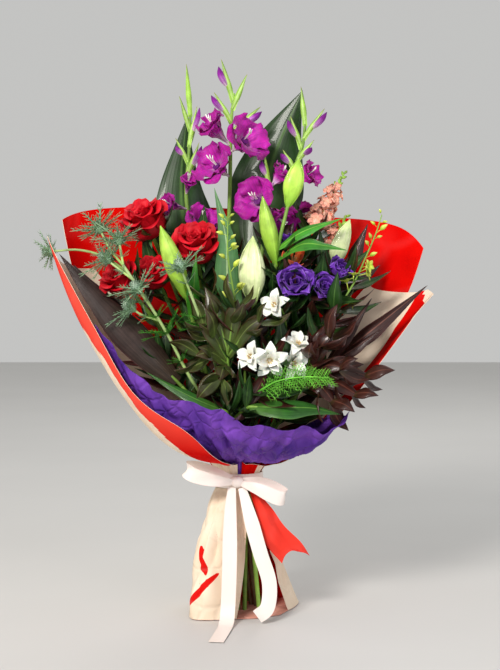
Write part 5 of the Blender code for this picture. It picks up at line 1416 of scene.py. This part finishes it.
# %% White blooms
WHITES = {
    "white_blooms_left": [
        (at(10, -124, 366), unit(-0.5, -0.9, 0.4), 16), (at(36, -124, 360), unit(0.1, -0.9, -0.1), 18)],
    "white_blooms_right": [
        (at(68, -116, 356), unit(0.6, -0.9, 0.1), 18), (at(74, -106, 382), unit(0.2, -0.6, 0.7), 16)],
    "white_bloom_top": [(at(42, -84, 432), unit(-0.4, -0.8, 0.3), 16)],
}
for name, blooms in WHITES.items():
    middle = sum((centre for centre, _, _ in blooms), Vector()) / len(blooms)
    axis = blooms[0][1].lerp(blooms[-1][1], 0.5).normalized()
    rise = (axis + UP * 0.7).normalized()
    fork = middle - axis * 24 * MM
    seat = head_seat(fork, rise, 6, 1.6, "whites")
    growth = Growth()
    pod(growth, [seat, seat.lerp(fork, 0.5), fork + rise * MM], [1.8, 1.8], 8, 4, finish=1)
    for centre, face, size in blooms:
        size *= 1.18
        foot_end, root = fork - rise * 2 * MM, centre - face * size * 0.55 * MM
        pod(growth, [foot_end, foot_end.lerp(root, 0.5) - UP * MM, root], [1.7, 1.5, 1.7], 8, 6, finish=1)
        base = centre - face * size * 0.6 * MM
        pod(growth, [base - face * 2 * MM, base, base + face * size * 0.45 * MM], [1.4, 2.0, 3.0, 2.2], 10, 6)
        flat, near = ([(0.5, size * rise)] + [(size * o, size * h) for o, h in profile] for rise, profile in (
            (0.15, ((0.4, 0.5), (0.8, 0.7), (1.25, 0.55))), (0.2, ((0.22, 0.62), (0.5, 0.95), (0.8, 1.1)))))
        halves = [size * share for share in (0.07, 0.22, 0.34, 0.36, 0.22, 0.03)]
        shape = {"ruffle": 0.06, "columns": 8, "thick": 0.5}
        whorl(growth, base, face, 5, flat, halves, 0.25, cup=0.25, rows=14, **shape)
        whorl(growth, base, face, 3, near, [half * 0.8 for half in halves], 0.6, cup=0.35, rows=12, **shape)
        for k in range(6):
            tip = base + (face * size * 0.75 + around(face, k * 1.05) * size * 0.16) * MM
            pod(growth, [base + face * size * 0.3 * MM, base.lerp(tip, 0.7), tip], [0.4, 0.4, 0.9, 0.3], 5, 5, finish=2)
    make_piece(name, growth, ["white petal", "stem", "anther"], "petal_white")

# %% [markdown]
# Long leaves give the sheaf its outline. A cordyline leaf is a dark leathery sword folded along its rib,
# an aspidistra leaf is broad and ribbed from end to end. Both are one blade with many rows, so that the
# long curve and the slow waves of the edge stay smooth.

# %% Cordyline and aspidistra
CORDYLINES = {
    "cordyline_long": [
        ([at(-88, -66, 326), at(-146, -74, 388), at(-202, -66, 446), at(-248, -54, 499)], [22, 24, 16],
         unit(0.3, -1, 0.4))],
    "cordyline_left": [
        ([at(-118, -38, 362), at(-160, -36, 404), at(-196, -34, 444), at(-232, -30, 484)], [9, 17, 13],
         unit(0.3, -1, 0.5))],
    "cordyline_right": [
        ([at(112, -58, 346), at(160, -60, 384), at(206, -52, 420), at(252, -40, 456)], [7, 13, 9],
         unit(-0.3, -1, 0.6)),
        ([at(112, -58, 346), at(140, -74, 390), at(173, -78, 440)], [7, 9], unit(-0.3, -1, 0.4)),
        ([at(112, -58, 346), at(150, -74, 372), at(186, -76, 398)], [7, 9], unit(-0.3, -1, 0.8)),
    ],
    "cordyline_tall": [([at(140, -6, 462), at(156, 0, 500), at(174, 6, 540)], [8, 10], unit(-0.3, -1, 0.3))],
}
for name, blades in CORDYLINES.items():
    root = blades[0][0][0]
    axis = (blades[0][0][1] - root).normalized()
    seat = head_seat(root, axis, 8, 2.2, "cordyline_" + ("left" if root.x < 0 else "right"))
    growth = Growth()
    pod(growth, [seat, root, root + axis * 12 * MM], [2.4, 2.3, 1.6], 8, 5, finish=1)
    for spine, halves, face in blades:
        leaf(growth, spine, [halves[0] * 0.45, *halves, halves[-1] * 0.5, 0.2], face, cup=0.35, ruffle=0.05, waves=2,
             rows=34, columns=8, thick=0.8)
    skin = "cordyline leaf" if root.x < 0 else "red cordyline leaf"
    make_piece(name, growth, [skin, "stem"], "cordyline")

ASPIDISTRAS = {
    "aspidistra_back_left": (
        [at(-50, 58, 420), at(-78, 78, 500), at(-90, 92, 590), at(-82, 98, 692)], [20, 40, 46, 32], unit(0.1, -1, 0.1)),
    "aspidistra_back_right": (
        [at(12, 62, 440), at(24, 84, 540), at(46, 98, 640), at(86, 104, 733)], [22, 46, 54, 42], unit(-0.1, -1, 0.1)),
    "aspidistra_front_right": (
        [at(10, -132, 300), at(50, -140, 300), at(92, -131, 298), at(130, -116, 288)], [14, 17, 12],
        unit(0.2, -0.7, 0.8)),
    "aspidistra_front_left": (
        [at(-22, -114, 292), at(-60, -120, 308), at(-98, -108, 326), at(-128, -96, 342)], [8, 9, 6],
        unit(0, -0.7, 0.8)),
}
for name, (spine, halves, face) in ASPIDISTRAS.items():
    along = (spine[1] - spine[0]).normalized()
    axis = ((spine[0] - at(NECK_X, 0, NECK_HEIGHT)).normalized() + along).normalized()
    seat = head_seat(spine[0], axis, 6, 2.0)
    growth = Growth()
    pod(growth, [seat, spine[0], spine[0] + along * 10 * MM], [2.2, 2.2, 1.4], 8, 5, finish=1)
    leaf(growth, spine, [halves[0] * 0.4, *halves, halves[-1] * 0.5, 0.2], face, cup=0.2, ruffle=0.05, waves=2.5,
         rows=40, columns=12, thick=0.9)
    make_piece(name, growth, ["dark leaf" if spine[0].y > 0 else "aspidistra leaf", "stem"], "leaf_dark")

# %% [markdown]
# Burgundy foliage is a shrub's: short twigs with small glossy leaves all round them, dark red-brown with
# a green heart. One leaf is made and set along every twig, in pairs that turn as they climb.

# %% Burgundy foliage
BURGUNDY = {
    "burgundy_left": {
        "stem": [at(-14, -62, 290), at(-18, -78, 330), at(-20, -92, 372)],
        "tips": [at(-50, -84, 455), at(-6, -104, 440), at(30, -112, 418),
                 at(-58, -104, 408), at(-62, -112, 366), at(-30, -128, 334)],
    },
    "burgundy_right": {
        "stem": [at(60, -56, 286), at(76, -74, 314), at(90, -92, 342)],
        "tips": [at(120, -104, 396), at(176, -104, 334), at(136, -122, 350),
                 at(160, -108, 308), at(124, -112, 300), at(98, -112, 386)],
    },
}
small_growth = Growth()
blade(small_growth, [at(0, 0, 0), at(-3, 0, 16), at(-3, 0, 34), at(6, 0, 49)], [1.0, 7.0, 11.5, 11.0, 6.0, 0.2],
      Vector((0, 1, 0)), 12, 6, cup=0.12, ruffle=0.05, thick=0.6, tint=0.5)
small_leaf = shape_object("small leaf", small_growth)


def twig_leaves(path, pairs, start):
    """Places for leaves in pairs along a twig, each pair turned from the last."""
    places = []
    for i in range(pairs):
        place = start + (0.99 - start) * i / (pairs - 1)
        root, along = along_path(path, place)
        for side in (-1, 1):
            out = around(along, i * 1.7 + 0.6) * side
            ahead = (along + out * (1.6 - 0.9 * place) + UP * 0.1).normalized()
            places.append((root, ahead, out * -0.4 + along + UP * 0.3, tints.uniform(0.75, 1.1)))
    return places


for name, plant in BURGUNDY.items():
    growth, path = own_stem(plant["stem"], 2.2, [2.4, 2.2, 1.8], 8, 12)
    leaves = []
    for i, tip in enumerate(plant["tips"]):
        root = Vector(through(path, [1 - 0.06 * i])[0])
        end = root.lerp(tip, 0.8)
        twig = [root, root.lerp(end, 0.5) + at(0, -4, 6), end]
        pod(growth, twig, [1.5, 1.2, 0.8], 6, 8)
        leaves += twig_leaves(twig, 2, 0.6)
        middle = root.lerp(tip, 0.5) + at(0, -6, 10)
        leaf(growth, [root, middle, tip], [4, 9, 11, 8, 0.3], unit(0, -1, 0.7), cup=0.25, ruffle=0.04, rows=18,
             columns=8, thick=0.7, finish=1)
    skin = "olive leaf" if name.endswith("left") else "burgundy leaf"
    piece = make_piece(name, growth, ["stem", skin], "burgundy")
    set_on_places(piece, small_leaf, leaves, skin, 0.2, 9, size=0.95)

# %% [markdown]
# Asparagus fern is a cloud of soft needles. Side branches leave the rib to the left and right, and
# needles stand along each of them.

# %% Fern
FERN = [at(20, -118, 318), at(46, -134, 334), at(80, -138, 340), at(114, -128, 338)]
BRANCHES, NEEDLES = 44, 14
needle_growth = Growth()
pod(needle_growth, [at(0, 0, 0), at(0.3, 0, 3.5), at(0, 0, 7)], [0.3, 0.42, 0.3, 0.1], 4, 3, tint=0.5)
needle = shape_object("needle", needle_growth)
growth, path = own_stem(FERN, 1.4, [1.5, 1.2, 1.0, 0.6], 7, 24)
needles = []
for i in range(BRANCHES):
    place = 0.05 + 0.94 * i / (BRANCHES - 1)
    root, along = along_path(path, place)
    side = along.cross(unit(0, -0.8, 0.6)).normalized() * (1 if i % 2 else -1)
    reach = 25 * (1 - 0.55 * place) * tints.uniform(0.8, 1.1)
    lift = unit(0, -0.8, 0.6) * tints.uniform(-0.3, 0.35)
    tip = root + ((side + lift) * reach + along * reach * 0.6) * MM
    branch = [root, root.lerp(tip, 0.5) + UP * 1.5 * MM, tip]
    pod(growth, branch, [0.45, 0.35, 0.2], 5, 4)
    for k in range(NEEDLES):
        point, way = along_path(branch, 0.06 + 0.94 * k / (NEEDLES - 1))
        ahead = (around(way, k * 2.1 + i) + way * 0.8).normalized()
        needles.append((point, ahead, way, 1.0 - 0.4 * k / (NEEDLES - 1)))
piece = make_piece("fern", growth, ["fern needle"], "fern")
set_on_places(piece, needle, needles, "fern needle", 0.2, 10)

# %% [markdown]
# All stems cross in the neck, bound with twine, and splay again at the floor, where their ends are flat. Above the
# neck each one runs up to its head in a smooth bend and carries leaves. A leaf that would pass through the
# wrapping is left out: a ray from its root to its tip finds that.

# %% Stems
CORE_RADIUS, CORE_HALF_HEIGHT = 21, 20
FOOT_STEMS, FOOT_SPREAD, SPIRAL = 13, 40, 45
STEM_LEAVES, LEAF_REACH, LEAST_RUN, LOWEST = 12, 84, 90, 1.0
broad_growth = Growth()
blade(broad_growth, [at(0, 0, 0), at(-4, 0, 22), at(-5, 0, 48), at(3, 0, 78)], [1.2, 8, 12, 11, 6, 0.3],
      Vector((0, 1, 0)), 10, 4, cup=0.2, ruffle=0.07, waves=2, thick=0.7, tint=0.5)
broad_leaf = shape_object("broad leaf", broad_growth)

walls = []
for wall in ("tissue", "paper_wing_left", "paper_wing_right", "paper_back_left", "paper_back_right"):
    mesh = bpy.data.objects[wall].data
    walls.append(BVHTree.FromPolygons([v.co for v in mesh.vertices], [p.vertices for p in mesh.polygons]))


def clear(root, tip):
    """Whether nothing of the wrapping lies between two points."""
    run = tip - root
    return all(wall.ray_cast(root, run.normalized(), run.length)[0] is None for wall in walls)


low, high = NECK_HEIGHT - CORE_HALF_HEIGHT, NECK_HEIGHT + CORE_HALF_HEIGHT
growth = Growth()
starts = [end for end, _, _, spray in SEATS if not spray]
starts += [sum(ends, Vector()) / len(ends) for ends in SPRAYS.values()]
starts.sort(key=lambda place: math.hypot(place.x, place.y) / place.z)


def core_top(place):
    """Each stem leaves the neck at its own slot, the steepest ones in the middle."""
    share = (starts.index(place) + 0.5) / len(starts)
    turn = math.degrees(math.atan2(place.y, place.x))
    return neck_point(turn, CORE_RADIUS * 0.88 * math.sqrt(share), high - 4)


forks = {}
for spray, ends in SPRAYS.items():
    middle = sum(ends, Vector()) / len(ends)
    forks[spray] = core_top(middle).lerp(middle, 0.4)
    pod(growth, [core_top(middle), core_top(middle).lerp(forks[spray], 0.5), forks[spray]], [2.8, 2.5], 9, 8)
leaves, dark_leaves = [], []
for i, (end, axis, radius, spray) in enumerate(SEATS):
    start = forks[spray] if spray else core_top(end)
    bend = end - axis * (end - start).length * 0.42
    path = [start.lerp(bend, t).lerp(bend.lerp(end, t), t) for t in (0, 0.25, 0.5, 0.75)] + [end - axis * 6 * MM, end]
    pod(growth, path, [radius + 0.5, radius + 0.3, radius], 9, 18)
    if (end - start).length < LEAST_RUN * MM:
        continue
    for k in range(STEM_LEAVES):
        place = 0.34 + 0.62 * k / (STEM_LEAVES - 1)
        root, along = along_path(path, place)
        out = around(along, k * 2.4 + i)
        reach = tints.uniform(0.62, 0.95)
        ahead = (along * 0.8 + out * 0.9).normalized()
        if clear(root, root + ahead * LEAF_REACH * reach * MM):
            (leaves if (i + k) % 4 else dark_leaves).append((root, ahead, UP + FRONT * 0.6 - out * 0.3, reach))
for i in range(FOOT_STEMS):
    turn = i * 720 / FOOT_STEMS
    ring = FOOT_SPREAD * (0.5 if i % 2 else 1)
    aside = Vector((math.cos(math.radians(turn)), 0.85 * math.sin(math.radians(turn)), 0))
    end = (aside * ring + UP * 1.1) * MM
    top = neck_point(turn + SPIRAL, CORE_RADIUS * 0.65, low + 6)
    pod(growth, [end, end + UP * 3 * MM, end.lerp(top, 0.5), top], [2.9, 3.1, 3.3], 10, 12, finish=i % 3 == 1)
heart = [neck_point(0, 0, low), neck_point(0, 0, NECK_HEIGHT), neck_point(0, 0, high), neck_point(0, 0, high + 32)]
for turn in range(0, 360, 24):
    for radius in (18, 11):
        line = [neck_point(turn + t, radius + out, z)
                for t, out, z in ((-24, 3, low), (0, 0, NECK_HEIGHT), (18, 0, high), (30, 4, high + 30))]
        pod(growth, line, [3.4, 3.2, 3.0], 8, 8, finish=turn % 48 == 0)
pod(growth, heart, [12, 14, 13, 8], 12, 6)
# Old twigs: brown, rough and dry
SKINS["woody stem"] = grown_skin(
    "woody_stem", [(0, "#6b5238"), (1, "#7a6040")], "#463424", 6, 0.6, relief=0.5, roughness=0.7)
piece = make_piece("stems", growth, ["stem", "woody stem"], "stem_green")
for vert in piece.data.vertices:
    vert.co.z = max(vert.co.z, LOWEST * MM)
set_on_places(piece, broad_leaf, leaves, "dark leaf", 0.1, 11)
set_on_places(piece, broad_leaf, dark_leaves, "burgundy leaf", 0.1, 12)

# %% [markdown]
# The twine goes round the neck a few times before the paper goes on. It is a laid cord of two strands.

# %% Twine
twine, tree, shader = blank("jute_twine", Roughness=0.85)
# Fibres are drawn a millimetre and a half wide, coarser than those of real jute, so that they show
where = add(tree, "ShaderNodeTexCoord").outputs["Object"]
fibres = add(tree, "ShaderNodeTexNoise", {"Vector": where, "Scale": 700, "Detail": 4})
tone = add(tree, "ShaderNodeMix", {0: fibres, 6: to_linear("#a98656"), 7: to_linear("#d3b586")}, data_type="RGBA")
bump = add(tree, "ShaderNodeBump", {"Height": fibres, "Strength": 0.6, "Distance": 0.5 * MM})
feed(tree, shader, {"Base Color": tone.outputs[2], "Normal": bump})
SKINS["twine"] = twine
growth = Growth()
for strand in range(2):
    line = []
    for i in range(160):
        t = i / 159
        turn = 360 * 2.6 * t
        lay = turn * 0.35 + strand * math.pi
        radius = CORE_RADIUS + 1.4 + 0.35 * math.cos(lay)
        line.append(neck_point(turn, radius, high - 13.2 + 3.4 * t + 0.35 * math.sin(lay)))
    pod(growth, line, [0.6, 0.6], 6, 159)
make_piece("stem_tie", growth, ["twine"], "twine")

# %% [markdown]
# The loose shapes go, and the triangles of the shown pieces are counted.

# %% Ending
for loose in LOOSE:
    bpy.data.objects.remove(loose)
count = sum(len(p.vertices) - 2 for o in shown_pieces() for p in o.data.polygons)
print("triangles", count)
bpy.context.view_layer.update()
